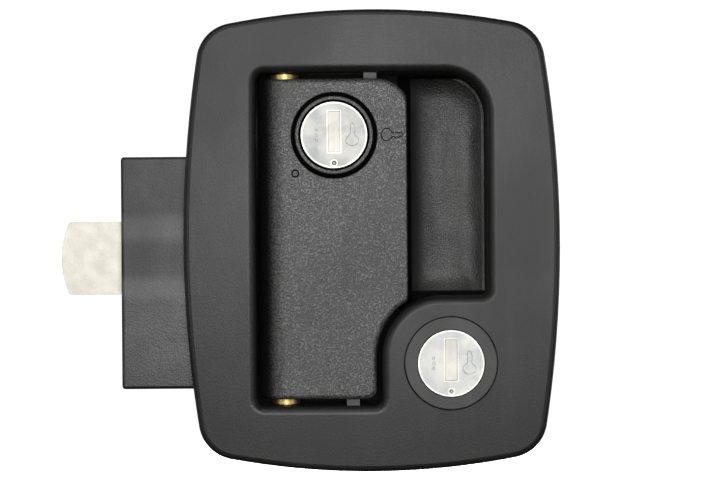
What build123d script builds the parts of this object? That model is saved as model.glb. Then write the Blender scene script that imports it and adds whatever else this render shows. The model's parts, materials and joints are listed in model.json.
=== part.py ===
from build123d import *
from math import radians, tan
import os

# A flush paddle lock with a deadbolt, for the entry door of a motorhome.
# X runs to the right seen from outside, Z up, and Y into the door. Y = 0 is the door's outer face.
# Lengths are in millimetres. "Depth" is a place along Y, and an outer face has a negative depth.

# ---- Escutcheon plate ----
plate_width = 112.1
plate_height = 137.8
plate_side_radius = 366.0
plate_end_radius = 232.0
plate_corner_radius = 11.75
plate_crown = 9.0
crown_radius = 900.0
plate_edge_radius = 2.0
plate_skin = 2.8
rim_width = 6.0
lip_radius = 2.4

# ---- Recess for the paddle and the fingers. A border is the plate's width beside the recess. ----
border_left = 21.65
border_right = 21.45
border_top = 18.8
border_bottom = 19.7
recess_corner = 2.6
recess_top_corner = 12.6
recess_depth = 14.0
wall = 3.0
ledge_thickness = 2.0
door_skin = 3.0

# ---- Finger cup ----
cup_opening = 22.9
cup_overlap = 3.3
cup_corner = 1.8
cup_thickness = 2.0

# ---- Paddle ----
paddle_face = 6.2
paddle_wall = 2.6
paddle_end_gap = 1.95
paddle_side_gap = 0.75
paddle_notch_gap = 1.6
paddle_top_corner = 10.0
paddle_foot_corner = 3.0
paddle_shoulder = 3.2
paddle_edge_radius = 1.4
paddle_opening = 40.0
hinge_depth = 1.6
pin_radius = 2.0
knuckle_length = 9.0

# ---- Locks, placed from the sides of the recess ----
paddle_lock_inset = 23.4
paddle_lock_drop = 18.8
deadbolt_lock_inset = 11.34
deadbolt_lock_rise = 12.55
plug_radius = 9.9
plug_head = 3.4
barrel_bore = 6.45
sleeve_radius = 8.55
sleeve_flange = 1.4
lock_nut_radius = 11.4
lock_nut_thickness = 3.0
keyway_width = 3.75
keyway_height = 12.3
keyway_rise = 1.0
collar_radius = 13.95
boss_radius = 12.75
boss_height = 1.75
wafer_count = 5
cam_reach = 22.0

# ---- Notch of the recess round the deadbolt's lock ----
notch_radius = 18.0
notch_shift_x = 2.42
notch_shift_z = 1.9

# ---- Latch box behind the door, placed from the plate and the recess ----
box_reach = 19.45
box_overhang = 10.4
box_top_drop = 24.5
box_bottom_rise = 4.8
nose_margin = 8.6
cam_room = 4.0
box_body = 18.0
box_wall = 2.0
cover_thickness = 1.6

# ---- Spring latch ----
tongue_height = 22.2
tongue_thickness = 13.0
tongue_lead = 6.0
tongue_throw = 19.0
tongue_travel = 18.5
tongue_nose_radius = 27.0
bolt_plate_thickness = 3.0

# ---- Deadbolt ----
deadbolt_height = 12.0
deadbolt_rise = 8.05
bolt_spacing = 23.7
deadbolt_thickness = 7.0
crank_radius = 10.0
crank_pin_radius = 2.5

# ---- Clearances ----
running_gap = 0.05
sliding_gap = 0.3
play = 0.4
hair = 0.01

# Places worked out from the sizes above.
recess_left = border_left - plate_width / 2
recess_right = plate_width / 2 - border_right
recess_top = plate_height / 2 - border_top
recess_bottom = border_bottom - plate_height / 2
body_left = recess_left - wall
body_right = recess_right + wall
body_top = recess_top + wall
body_bottom = recess_bottom - wall
body_middle = ((body_left + body_right) / 2, (body_top + body_bottom) / 2)

paddle_lock = (recess_left + paddle_lock_inset, recess_top - paddle_lock_drop)
deadbolt_lock = (recess_right - deadbolt_lock_inset, recess_bottom + deadbolt_lock_rise)
notch_x = deadbolt_lock[0] - notch_shift_x
notch_z = deadbolt_lock[1] + notch_shift_z
notch_left = notch_x - notch_radius
notch_top = notch_z + notch_radius

barrel_radius = paddle_face + hinge_depth
hinge_x = recess_left + paddle_side_gap + barrel_radius
paddle_right = recess_right - cup_opening
paddle_top = recess_top - paddle_end_gap
paddle_bottom = recess_bottom + paddle_end_gap
paddle_back = hinge_depth

cup_left = paddle_right - cup_overlap
ledge_front = recess_depth - ledge_thickness
cup_floor = ledge_front - cup_thickness

box_left = -plate_width / 2 - box_reach
box_right = recess_right + box_overhang
box_top = recess_top - box_top_drop
box_bottom = recess_bottom + box_bottom_rise
nose_right = recess_left - nose_margin
box_front = recess_depth + cam_room
box_depth = box_front + box_body
floor_depth = box_front + box_wall
cover_front = box_depth - cover_thickness

deadbolt_middle = deadbolt_lock[1] + deadbolt_rise
tongue_middle = deadbolt_middle + bolt_spacing
tongue_front = box_front - tongue_lead


# A plane across the lock at a depth. Its x is the lock's X, its y is Z, and it faces outside.
def layer(depth):
    return Plane.XZ.offset(-depth)


# A disc or a cylinder along Y at a place (x, z), from one depth to the next.
def drum(place, radius, start, end, mode=Mode.ADD):
    with BuildSketch(layer(start)) as disc:
        with Locations(place):
            Circle(radius)
    extrude(disc.sketch, amount=start - end, mode=mode)


# A rectangular bar along Y, centred on a place (x, z), from one depth to the next.
def bar(place, width, height, start, end, mode=Mode.ADD):
    with BuildSketch(layer(start)) as section:
        with Locations(place):
            Rectangle(width, height)
    extrude(section.sketch, amount=start - end, mode=mode)


# A block between two corners.
def block(low, high, mode=Mode.ADD):
    size = [far - near for near, far in zip(low, high)]
    with Locations(low):
        Box(*size, align=(Align.MIN, Align.MIN, Align.MIN), mode=mode)


# A rod along the hinge's axis, from one height to the next.
def hinge_rod(radius, low, high, mode=Mode.ADD):
    with Locations((hinge_x, hinge_depth, low)):
        Cylinder(radius, high - low, align=(Align.CENTER, Align.CENTER, Align.MIN), mode=mode)


# A screw along Y: a plain shank, and behind its seat a head with a round socket.
def screw(place, radius, head_radius, head, length, seat):
    drum(place, radius, seat - length, seat)
    drum(place, head_radius, seat, seat + head)
    drum(place, radius, seat + head / 2, seat + head, Mode.SUBTRACT)


# Takes away what lies left of x, or right of it, from the sketch that is being drawn.
def clear_left(x):
    with Locations((x, 0)):
        Rectangle(plate_width, plate_height, align=(Align.MAX, Align.CENTER), mode=Mode.SUBTRACT)


def clear_right(x):
    with Locations((x, 0)):
        Rectangle(plate_width, plate_height, align=(Align.MIN, Align.CENTER), mode=Mode.SUBTRACT)


def nearest_corner(sketch, x, z):
    return sketch.vertices().sort_by_distance((x, z, 0))[0]


# The edges of a part that lie in one plane across Y.
def edges_at(builder, depth):
    return builder.edges().filter_by_position(Axis.Y, depth - hair, depth + hair)


def keep(builder, name):
    builder.part.label = name
    export_step(builder.part, f"parts/{name}.step")


os.makedirs("parts", exist_ok=True)


# ---- Bezel: crowned plate, recess walls, ledge and screw bosses in one moulding ----
def plate_outline(inset):
    side_place = plate_side_radius - plate_width / 2
    end_place = plate_end_radius - plate_height / 2
    with BuildSketch() as outline:
        with Locations((-side_place, 0)):
            Circle(plate_side_radius - inset)
        with Locations((side_place, 0)):
            Circle(plate_side_radius - inset, mode=Mode.INTERSECT)
        with Locations((0, -end_place)):
            Circle(plate_end_radius - inset, mode=Mode.INTERSECT)
        with Locations((0, end_place)):
            Circle(plate_end_radius - inset, mode=Mode.INTERSECT)
        fillet(outline.vertices(), plate_corner_radius - inset)
    return outline.sketch


# The recess's outline moved outwards all round by a distance. The corner beside the deadbolt is re-entrant.
def recess_outline(grow):
    left = recess_left - grow
    right = recess_right + grow
    bottom = recess_bottom - grow
    top = recess_top + grow
    inner_x = notch_left + grow
    inner_z = notch_top - grow
    rounds = [
        (left, bottom, recess_corner + grow),
        (inner_x, bottom, recess_corner + grow),
        (inner_x, inner_z, notch_radius - grow),
        (right, inner_z, cup_corner + grow),
        (right, top, recess_top_corner + grow),
        (left, top, recess_corner + grow),
    ]
    with BuildSketch() as outline:
        with BuildLine():
            Polyline(*[(x, z) for x, z, radius in rounds], close=True)
        make_face()
        for x, z, radius in rounds:
            if radius > 0:
                fillet(nearest_corner(outline, x, z), radius)
    return outline.sketch


# The solid under the crowned face, less a skin, made from the sketch drawn just before.
def under_crown(depth, skin):
    extrude(amount=depth + plate_crown)
    with Locations((0, crown_radius - plate_crown, 0)):
        Sphere(crown_radius - skin, mode=Mode.INTERSECT)


def crown_face(builder):
    return builder.faces().filter_by(GeomType.SPHERE).sort_by(SortBy.AREA)[-1]


# Bosses that carry the inside trim's screws, through the door.
trim_inset_x = 14.05
trim_inset_z = 14.4
trim_boss_radius = 4.2
trim_boss_length = 6.0
trim_x = plate_width / 2 - trim_inset_x
trim_z = plate_height / 2 - trim_inset_z
trim_places = [(x, z) for x in (-trim_x, trim_x) for z in (-trim_z, trim_z)]
insert_radius = 2.8
insert_bore = 1.65
insert_length = 8.0
insert_front = trim_boss_length - insert_length

# Bosses that carry the latch box, inside the door's cut-out.
box_boss_radius = 4.0
box_boss_drop = 7.1
box_boss_rise = 5.8
box_boss_columns = (recess_left - box_boss_radius, recess_right + box_boss_radius)
box_boss_rows = (box_bottom + box_boss_rise, box_top - box_boss_drop)
box_places = [(x, z) for x in box_boss_columns for z in box_boss_rows]
box_screw_radius = 1.4
box_screw_hole = 1.85
box_screw_head_radius = 3.2
box_screw_head = 1.8
box_screw_length = 10.0

# The deadbolt's lock stands in a collar let into the plate.
head_gap = 0.15
collar_bore = 10.15
collar_proud = 0.45
collar_play = 0.08
collar_face = collar_proud - plate_crown
deadbolt_plug_face = collar_face - head_gap
deadbolt_seat = deadbolt_plug_face + plug_head + head_gap + sleeve_flange
deadbolt_boss_radius = collar_radius + wall
deadbolt_boss_room = 5.0
deadbolt_boss_end = recess_depth - deadbolt_boss_room

gasket_width = 2.6
gasket_inset = 1.7
gasket_thickness = 1.2

# Stiffening ribs across the plate's cored back.
stiffener_thickness = 1.6
stiffener_pitch_x = 20.0
stiffener_pitch_z = 24.0
stiffener_back = -1.5

# Ribs in the gaps at the paddle's ends, which stop the paddle as it shuts.
rest_width = 3.8
rest_top_inset = 11.9
rest_bottom_inset = 17.5
rest_top_x = paddle_right - rest_top_inset
rest_bottom_x = paddle_right - rest_bottom_inset
rest_face = -4.2
rest_seat = sliding_gap - paddle_face + paddle_wall
rest_reach = 5.4

# The finger cup's pan stands on a ledge and three tabs, and the ledge goes on round the paddle.
cup_rim = 1.5
cup_rim_width = 0.8
cup_ledge_width = 2.4
cup_post_radius = 1.6
cup_tab_radius = 4.4
cup_post_inset = 5.0
cup_post_margin = 4.6
cup_top_post_inset = 15.0
cup_post_x = recess_right - cup_post_inset
cup_side_posts = [(cup_post_x, notch_top + cup_post_margin), (cup_post_x, (notch_top + recess_top) / 2)]
cup_top_post = (recess_right - cup_top_post_inset, recess_top - cup_post_margin)
cup_places = [*cup_side_posts, cup_top_post]
paddle_ledge_width = 5.6
arm_room_side = 3.4
arm_room_height = 16.0

clip_radius = 4.0
clip_thickness = 0.8
clip_gap = 0.1
pin_end = 2.2
clip_room = pin_end + play

# The plate is cored from behind, outside the walls of the recess. The ribs stay, but for room
# for the hinge pin's clips.
with BuildPart() as plate_core:
    with BuildSketch(layer(0)):
        add(plate_outline(rim_width))
        with Locations(body_middle):
            Rectangle(body_right - body_left, body_top - body_bottom, mode=Mode.SUBTRACT)
        with Locations(*trim_places):
            Circle(trim_boss_radius, mode=Mode.SUBTRACT)
        with Locations(*box_places):
            Circle(box_boss_radius, mode=Mode.SUBTRACT)
    under_crown(0, plate_skin)
    for step in (-1, 0, 1):
        column = (step * stiffener_pitch_x, 0)
        row = (0, step * stiffener_pitch_z)
        bar(column, stiffener_thickness, plate_height, -plate_crown, stiffener_back, Mode.SUBTRACT)
        bar(row, plate_width, stiffener_thickness, -plate_crown, stiffener_back, Mode.SUBTRACT)
    for low in (body_bottom - clip_room, body_top + hair):
        hinge_rod(clip_radius + play, low, low + clip_room - hair)

# The corner behind the deadbolt's lock is hollow too, but for the lock's own boss.
with BuildPart() as corner_core:
    with BuildSketch(layer(recess_depth)):
        with Locations(body_middle):
            Rectangle(recess_right - recess_left, recess_top - recess_bottom)
        add(recess_outline(wall), mode=Mode.SUBTRACT)
        with Locations(deadbolt_lock):
            Circle(deadbolt_boss_radius, mode=Mode.SUBTRACT)
        with Locations(*box_places):
            Circle(box_boss_radius, mode=Mode.SUBTRACT)
    under_crown(recess_depth, plate_skin)

with BuildPart() as bezel:
    with BuildSketch(layer(0)):
        add(plate_outline(0))
    under_crown(0, 0)
    fillet(crown_face(bezel).edges(), plate_edge_radius)

    add(plate_core.part, mode=Mode.SUBTRACT)

    # The walls behind the plate, and the bosses.
    with BuildSketch(layer(0)):
        with Locations(body_middle):
            RectangleRounded(body_right - body_left, body_top - body_bottom, recess_corner + wall)
    extrude(amount=-recess_depth)
    for place in box_places:
        drum(place, box_boss_radius, 0, box_front)
    for place in trim_places:
        drum(place, trim_boss_radius, 0, trim_boss_length)

    add(corner_core.part, mode=Mode.SUBTRACT)
    drum(deadbolt_lock, deadbolt_boss_radius, deadbolt_boss_end, recess_depth, Mode.SUBTRACT)

    # The recess goes right through, and its edge is rounded over into the face.
    with BuildSketch(layer(recess_depth)):
        add(recess_outline(0))
    extrude(amount=recess_depth + plate_crown, mode=Mode.SUBTRACT)
    fillet(crown_face(bezel).inner_wires().edges(), lip_radius)

    # The ledge and tabs under the finger cup.
    with BuildSketch(layer(recess_depth)):
        add(recess_outline(0))
        add(recess_outline(-cup_ledge_width), mode=Mode.SUBTRACT)
        with Locations(*cup_places):
            Circle(cup_tab_radius)
        with Locations(*cup_side_posts):
            Rectangle(recess_right - cup_post_x, 2 * cup_tab_radius, align=(Align.MIN, Align.CENTER))
        with Locations(cup_top_post):
            Rectangle(2 * cup_tab_radius, recess_top - cup_top_post[1], align=(Align.CENTER, Align.MIN))
        clear_left(cup_left)
    extrude(amount=ledge_thickness)
    for place in cup_places:
        drum(place, cup_post_radius + running_gap, ledge_front, recess_depth, Mode.SUBTRACT)

    # The ledge behind the gaps round the paddle, with room for the release arm.
    with BuildSketch(layer(recess_depth)):
        add(recess_outline(0))
        add(recess_outline(-paddle_ledge_width), mode=Mode.SUBTRACT)
        with Locations((recess_left + arm_room_side, tongue_middle)):
            Rectangle(wall, arm_room_height, align=(Align.MIN, Align.CENTER), mode=Mode.SUBTRACT)
        clear_right(cup_left)
    extrude(amount=ledge_thickness)

    # The paddle's rest ribs: a low part in the end gap and a step under the paddle's edge.
    for x, wall_z, side in ((rest_top_x, recess_top, 1), (rest_bottom_x, recess_bottom, -1)):
        gap_z = wall_z - side * (paddle_end_gap - sliding_gap)
        step_z = wall_z - side * rest_reach
        for depth, inner_z in ((rest_face, gap_z), (rest_seat, step_z)):
            bar((x, (wall_z + inner_z) / 2), rest_width, abs(wall_z - inner_z), depth, ledge_front)

    # Holes: the hinge pin, the latch box's screws, the inserts, the collar and the deadbolt's lock.
    hinge_rod(pin_radius, body_bottom, body_top, Mode.SUBTRACT)
    for place in box_places:
        drum(place, box_screw_radius, box_front - box_screw_length, box_front, Mode.SUBTRACT)
    for place in trim_places:
        drum(place, insert_radius, insert_front, trim_boss_length, Mode.SUBTRACT)
    drum(deadbolt_lock, collar_radius + collar_play, -plate_crown, deadbolt_seat, Mode.SUBTRACT)
    drum(deadbolt_lock, sleeve_radius, deadbolt_seat, deadbolt_boss_end, Mode.SUBTRACT)

    # The groove for the door seal.
    with BuildSketch(layer(0)):
        add(plate_outline(gasket_inset))
        add(plate_outline(gasket_inset + gasket_width), mode=Mode.SUBTRACT)
    extrude(amount=gasket_thickness, mode=Mode.SUBTRACT)
keep(bezel, "bezel")

with BuildPart() as bezel_gasket:
    with BuildSketch(layer(0)):
        add(plate_outline(gasket_inset))
        add(plate_outline(gasket_inset + gasket_width), mode=Mode.SUBTRACT)
    extrude(amount=gasket_thickness)
keep(bezel_gasket, "bezel_gasket")

with BuildPart() as threaded_inserts:
    for place in trim_places:
        drum(place, insert_radius, insert_front, trim_boss_length)
        drum(place, insert_bore, insert_front, trim_boss_length, Mode.SUBTRACT)
keep(threaded_inserts, "threaded_inserts")

# ---- Finger cup: a dished pan with a rolled rim, held by three posts ----
cup_edge_height = 3.9

with BuildPart() as finger_cup:
    with BuildSketch(layer(ledge_front)):
        add(recess_outline(-sliding_gap))
        clear_left(cup_left)
    extrude(amount=cup_thickness + cup_rim)
    with BuildSketch(layer(cup_floor)):
        add(recess_outline(-sliding_gap - cup_rim_width))
        clear_left(cup_left - cup_overlap)
    extrude(amount=cup_rim, mode=Mode.SUBTRACT)
    floor_face = finger_cup.faces().filter_by(Axis.Y).group_by(Axis.Y)[1][0]
    rim_edges = floor_face.edges().filter_by(lambda edge: edge.center().X > cup_left + sliding_gap)
    fillet(rim_edges, cup_rim - 2 * running_gap)
    block(
        (cup_left, cup_floor, notch_top + recess_corner),
        (cup_left + cup_thickness, cup_floor + cup_edge_height, recess_top - recess_corner),
    )
    for place in cup_places:
        drum(place, cup_post_radius, ledge_front, recess_depth + cup_thickness)
keep(finger_cup, "finger_cup")

# Push-on clips hold the cup's posts behind the bezel's tabs.
cup_clip_radius = 3.4
cup_clip_thickness = 0.6

with BuildPart() as cup_clips:
    for place in cup_places:
        drum(place, cup_clip_radius, recess_depth, recess_depth + cup_clip_thickness)
        drum(place, cup_post_radius, recess_depth, recess_depth + cup_clip_thickness, Mode.SUBTRACT)
keep(cup_clips, "cup_clips")

# ---- Hinge: a pin through the bezel's walls, held by two clips ----
pin_chamfer = 0.4
bush_radius = 3.2
bush_length = 6.0
bush_flange_radius = 4.15
bush_flange = 1.6

with BuildPart() as hinge_pin:
    hinge_rod(pin_radius, body_bottom - pin_end, body_top + pin_end)
    chamfer(hinge_pin.edges().filter_by(GeomType.CIRCLE), pin_chamfer)
keep(hinge_pin, "hinge_pin")

with BuildPart() as hinge_pin_clips:
    for low in (body_bottom - clip_gap - clip_thickness, body_top + clip_gap):
        high = low + clip_thickness
        hinge_rod(clip_radius, low, high)
        hinge_rod(pin_radius, low, high, Mode.SUBTRACT)
        block(
            (hinge_x - pin_radius / 2, hinge_depth, low),
            (hinge_x + pin_radius / 2, hinge_depth + clip_radius, high),
            Mode.SUBTRACT,
        )
keep(hinge_pin_clips, "hinge_pin_clips")


# A flanged bush in the end of the paddle. The flange faces out along Z where side is 1.
def hinge_bush(name, face, side):
    inner = face - side * bush_length
    outer = face + side * bush_flange
    with BuildPart() as bush:
        hinge_rod(bush_radius, min(face, inner), max(face, inner))
        hinge_rod(bush_flange_radius, min(face, outer), max(face, outer))
        hinge_rod(pin_radius + running_gap, min(inner, outer), max(inner, outer), Mode.SUBTRACT)
    keep(bush, name)


hinge_bush("hinge_bush_top", paddle_top, 1)
hinge_bush("hinge_bush_bottom", paddle_bottom, -1)


# ---- Paddle: a hollow handle with a barrel edge, knuckles at its ends and the lock's boss ----
def paddle_outline(inset):
    left = hinge_x - barrel_radius + inset
    right = paddle_right - inset
    bottom = paddle_bottom + inset
    top = paddle_top - inset
    notch = notch_radius + paddle_notch_gap + inset
    shoulder_z = notch_z + (notch**2 - (notch_x - right) ** 2) ** 0.5
    with BuildSketch() as outline:
        with Locations((left, bottom)):
            Rectangle(right - left, top - bottom, align=(Align.MIN, Align.MIN))
        with Locations((notch_x, notch_z)):
            Circle(notch, mode=Mode.SUBTRACT)
        with Locations((notch_x - notch, notch_z)):
            Rectangle(2 * notch, notch_z - bottom, align=(Align.MIN, Align.MAX), mode=Mode.SUBTRACT)
        fillet(nearest_corner(outline, right, top), paddle_top_corner - inset)
        fillet(nearest_corner(outline, notch_x - notch, bottom), paddle_foot_corner - inset)
        fillet(nearest_corner(outline, right, shoulder_z), paddle_shoulder - inset)
    return outline.sketch


knuckle_inner = barrel_radius - paddle_wall
trough_right = hinge_x + barrel_radius
paddle_skin_back = paddle_wall - paddle_face
paddle_boss_face = -paddle_face - boss_height
paddle_plug_proud = 0.2
paddle_plug_face = paddle_boss_face - paddle_plug_proud
paddle_lock_seat = paddle_plug_face + plug_head + head_gap + sleeve_flange
paddle_rib_thickness = 1.2
paddle_rib_pitch = 16.4
paddle_rib_gap = 2.5

# The release arm's foot is screwed to two posts on the paddle.
arm_width = 14.0
arm_low = tongue_middle - arm_width / 2
arm_high = tongue_middle + arm_width / 2
arm_foot_length = 19.85
arm_foot_thickness = 2.5
arm_screw_inset = 4.0
arm_screw_rise = 3.6
arm_foot_end = hinge_x + arm_foot_length
arm_foot_back = paddle_back + arm_foot_thickness
arm_screw_x = arm_foot_end - arm_screw_inset
arm_screw_places = [(arm_screw_x, tongue_middle + rise) for rise in (-arm_screw_rise, arm_screw_rise)]
arm_screw_radius = 1.25
arm_screw_head_radius = 2.6
arm_screw_head = 1.8
arm_screw_length = 5.0
arm_post_radius = 3.2
paddle_rib_low = arm_low - paddle_rib_gap
paddle_rib_rows = [paddle_rib_low - paddle_rib_pitch, paddle_rib_low, arm_high + paddle_rib_pitch / 2]

# A small index ring on the face, left of the lock and below it.
index_left = 11.6
index_drop = 11.3
index_place = (paddle_lock[0] - index_left, paddle_lock[1] - index_drop)
index_outer_radius = 1.15
index_inner_radius = 0.75
index_groove = 0.5

with BuildPart() as paddle:
    with BuildSketch(Plane.XY.offset(paddle_bottom)):
        with BuildLine():
            edge = CenterArc((hinge_x, hinge_depth), barrel_radius, 180, 90)
            face = Line(edge @ 1, (paddle_right, -paddle_face))
            side = Line(face @ 1, (paddle_right, paddle_back))
            Line(side @ 1, edge @ 0)
        make_face()
    extrude(amount=paddle_top - paddle_bottom)
    with BuildSketch(layer(paddle_back)):
        add(paddle_outline(0))
    extrude(amount=paddle_back + paddle_face, mode=Mode.INTERSECT)

    # The face's edges are rounded, but not the seam where the face runs into the barrel.
    front_edges = edges_at(paddle, -paddle_face)
    seam = front_edges.sort_by(Axis.X)[0]
    barrel_ends = paddle.edges().filter_by(GeomType.CIRCLE).filter_by(
        lambda arc: abs(arc.radius - barrel_radius) < hair and arc.center().Y < hinge_depth
    )
    fillet([*(front_edges - [seam]), *barrel_ends], paddle_edge_radius)

    # Hollow from behind but for three ribs, with a round-bottomed trough along the hinge.
    with BuildSketch(layer(paddle_back)):
        add(paddle_outline(paddle_wall))
        clear_left(trough_right)
        with Locations(*[(paddle_right, z) for z in paddle_rib_rows]):
            Rectangle(
                paddle_right - trough_right, paddle_rib_thickness,
                align=(Align.MAX, Align.CENTER), mode=Mode.SUBTRACT,
            )
    extrude(amount=paddle_back - paddle_skin_back, mode=Mode.SUBTRACT)
    hinge_rod(barrel_radius, paddle_bottom + paddle_wall, paddle_bottom + knuckle_length)
    hinge_rod(barrel_radius, paddle_top - knuckle_length, paddle_top - paddle_wall)
    hinge_rod(knuckle_inner, paddle_bottom + knuckle_length, paddle_top - knuckle_length, Mode.SUBTRACT)

    # The lock's boss and the posts for the release arm.
    drum(paddle_lock, boss_radius, paddle_boss_face, paddle_back)
    fillet(edges_at(paddle, paddle_boss_face), paddle_edge_radius - running_gap)
    for place in arm_screw_places:
        drum(place, arm_post_radius, paddle_skin_back, paddle_back)
    drum(paddle_lock, collar_bore, paddle_boss_face, paddle_lock_seat, Mode.SUBTRACT)
    drum(paddle_lock, sleeve_radius, paddle_lock_seat, paddle_back, Mode.SUBTRACT)
    for place in arm_screw_places:
        drum(place, arm_screw_radius, arm_foot_back - arm_screw_length, paddle_back, Mode.SUBTRACT)

    # The pin's hole, the bushes' bores, and the notches over the rest ribs.
    hinge_rod(pin_radius + play, paddle_bottom, paddle_top, Mode.SUBTRACT)
    hinge_rod(bush_radius, paddle_bottom, paddle_bottom + bush_length, Mode.SUBTRACT)
    hinge_rod(bush_radius, paddle_top - bush_length, paddle_top, Mode.SUBTRACT)
    notch_width = rest_width + 4 * play
    notch_height = rest_reach + sliding_gap
    top_notch = (rest_top_x, paddle_top - notch_height / 2)
    bottom_notch = (rest_bottom_x, paddle_bottom + notch_height / 2)
    for place in (top_notch, bottom_notch):
        bar(place, notch_width, notch_height, paddle_skin_back, paddle_back, Mode.SUBTRACT)
    drum(index_place, index_outer_radius, -paddle_face, index_groove - paddle_face, Mode.SUBTRACT)
    drum(index_place, index_inner_radius, -paddle_face, index_groove - paddle_face)
keep(paddle, "paddle")

# ---- Locks: two cylinders of the same make, one in the paddle and one in the bezel ----
sleeve_end_gap_paddle = 3.2
sleeve_end_gap_deadbolt = 0.5
sleeve_end_paddle = recess_depth - sleeve_end_gap_paddle
sleeve_end_deadbolt = recess_depth - sleeve_end_gap_deadbolt
shaft_radius = barrel_bore - running_gap
plug_chamfer = 0.35
wafer_width = 5.0
wafer_height = 11.6
wafer_thickness = 0.9
wafer_pitch = 2.2
wafer_start = 1.5
keyway_inner_width = 2.2
keyway_inner_height = 8.6
shutter_depth = 0.4
shutter_thickness = 0.8
shutter_gap = 0.15
index_dot_radius = 0.7
index_dot_drop = 8.2
index_dot_depth = 0.3


# The fixed sleeve that a plug turns in. Its flange lies on the seat behind the plug's head.
def lock_sleeve(name, place, plug_face, end):
    flange = plug_face + plug_head + head_gap
    with BuildPart() as sleeve:
        drum(place, plug_radius, flange, flange + sleeve_flange)
        drum(place, sleeve_radius, flange + sleeve_flange, end)
        drum(place, barrel_bore, flange, end, Mode.SUBTRACT)
    keep(sleeve, name)


# The ring nut that clamps a sleeve from behind.
def lock_nut(name, place, seat):
    with BuildPart() as nut:
        with BuildSketch(layer(seat)):
            with Locations(place):
                RegularPolygon(lock_nut_radius, 6)
                Circle(sleeve_radius, mode=Mode.SUBTRACT)
        extrude(amount=-lock_nut_thickness)
    keep(nut, name)


def wafer_depth(face, number):
    return face + plug_head + wafer_start + wafer_pitch * number


# The plug: a head with a keyway, a shaft slotted across for the wafers, and a tail that drives.
def lock_plug(name, place, face, shaft_end, tail_width, tail_height, tail_end, screw_length):
    x, z = place
    back = face + plug_head
    slot_width = wafer_width + 2 * running_gap
    with BuildPart() as plug:
        drum(place, plug_radius, face, back)
        chamfer(edges_at(plug, face), plug_chamfer)
        drum(place, shaft_radius, back, shaft_end)
        bar(place, tail_width, tail_height, shaft_end, tail_end)
        bar((x, z + keyway_rise), keyway_width, keyway_height, face, face + plug_head / 2, Mode.SUBTRACT)
        keyway_end = wafer_depth(face, wafer_count)
        bar(place, keyway_inner_width, keyway_inner_height, face, keyway_end, Mode.SUBTRACT)
        for number in range(wafer_count):
            near = wafer_depth(face, number) - running_gap
            far = near + wafer_thickness + 2 * running_gap
            bar(place, slot_width, 2 * barrel_bore, near, far, Mode.SUBTRACT)
        drum((x, z - index_dot_drop), index_dot_radius, face, face + index_dot_depth, Mode.SUBTRACT)
        if screw_length:
            drum(place, cam_screw_radius, tail_end - screw_length, tail_end, Mode.SUBTRACT)
    keep(plug, name)


def lock_wafers(name, place, face):
    with BuildPart() as wafers:
        for number in range(wafer_count):
            near = wafer_depth(face, number)
            far = near + wafer_thickness
            bar(place, wafer_width, wafer_height, near, far)
            bar(place, keyway_inner_width, wafer_height / 2, near, far, Mode.SUBTRACT)
    keep(wafers, name)


def lock_shutter(name, place, face):
    x, z = place
    near = face + shutter_depth
    width = keyway_width - 2 * shutter_gap
    height = keyway_height - 2 * shutter_gap
    with BuildPart() as shutter:
        bar((x, z + keyway_rise), width, height, near, near + shutter_thickness)
    keep(shutter, name)


cam_thickness = 2.0
cam_front = recess_depth + play
cam_back = cam_front + cam_thickness
cam_hub_radius = 6.0
cam_tip_radius = 3.5
cam_square = 5.0
cam_screw_radius = 1.5
cam_screw_head_radius = 3.5
cam_screw_head = 2.0
cam_screw_length = 4.0

lock_sleeve("paddle_lock_sleeve", paddle_lock, paddle_plug_face, sleeve_end_paddle)
lock_nut("paddle_lock_nut", paddle_lock, paddle_back)
lock_plug(
    "paddle_lock_plug", paddle_lock, paddle_plug_face, shaft_end=cam_front,
    tail_width=cam_square, tail_height=cam_square, tail_end=cam_back, screw_length=cam_screw_length,
)
lock_wafers("paddle_lock_wafers", paddle_lock, paddle_plug_face)
lock_shutter("paddle_lock_shutter", paddle_lock, paddle_plug_face)

# The cam points down when unlocked. Turned a quarter, its tip lies behind the finger cup's edge.
with BuildPart() as lock_cam:
    with BuildSketch(layer(cam_front)):
        with Locations(paddle_lock):
            Circle(cam_hub_radius)
            Rectangle(2 * cam_tip_radius, cam_reach - cam_tip_radius, align=(Align.CENTER, Align.MAX))
        with Locations((paddle_lock[0], paddle_lock[1] - cam_reach + cam_tip_radius)):
            Circle(cam_tip_radius)
        with Locations(paddle_lock):
            Rectangle(cam_square + 2 * running_gap, cam_square + 2 * running_gap, mode=Mode.SUBTRACT)
    extrude(amount=-cam_thickness)
keep(lock_cam, "lock_cam")

with BuildPart() as cam_screw:
    screw(paddle_lock, cam_screw_radius, cam_screw_head_radius, cam_screw_head, cam_screw_length, cam_back)
keep(cam_screw, "cam_screw")

# ---- Deadbolt's lock, with its collar in the plate ----
collar_edge_radius = 0.5
crank_hub_radius = 5.4
crank_thickness = 2.5
crank_eye_radius = 4.0
crank_front = floor_depth + play
tailpiece_thickness = 2.0
tailpiece_height = 8.2
tailpiece_room = 3.4
tailpiece_end = cover_front - tailpiece_room
fork_front = crank_front + crank_thickness + play
fork_back = fork_front + deadbolt_thickness
crank_side = crank_radius * 0.5**0.5
crank_pin = (deadbolt_lock[0] + crank_side, deadbolt_lock[1] + crank_side)
deadbolt_travel = 2 * crank_side

with BuildPart() as deadbolt_collar:
    drum(deadbolt_lock, collar_radius, collar_face, deadbolt_seat)
    fillet(edges_at(deadbolt_collar, collar_face), collar_edge_radius)
    drum(deadbolt_lock, collar_bore, collar_face, deadbolt_seat, Mode.SUBTRACT)
keep(deadbolt_collar, "deadbolt_collar")

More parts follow.
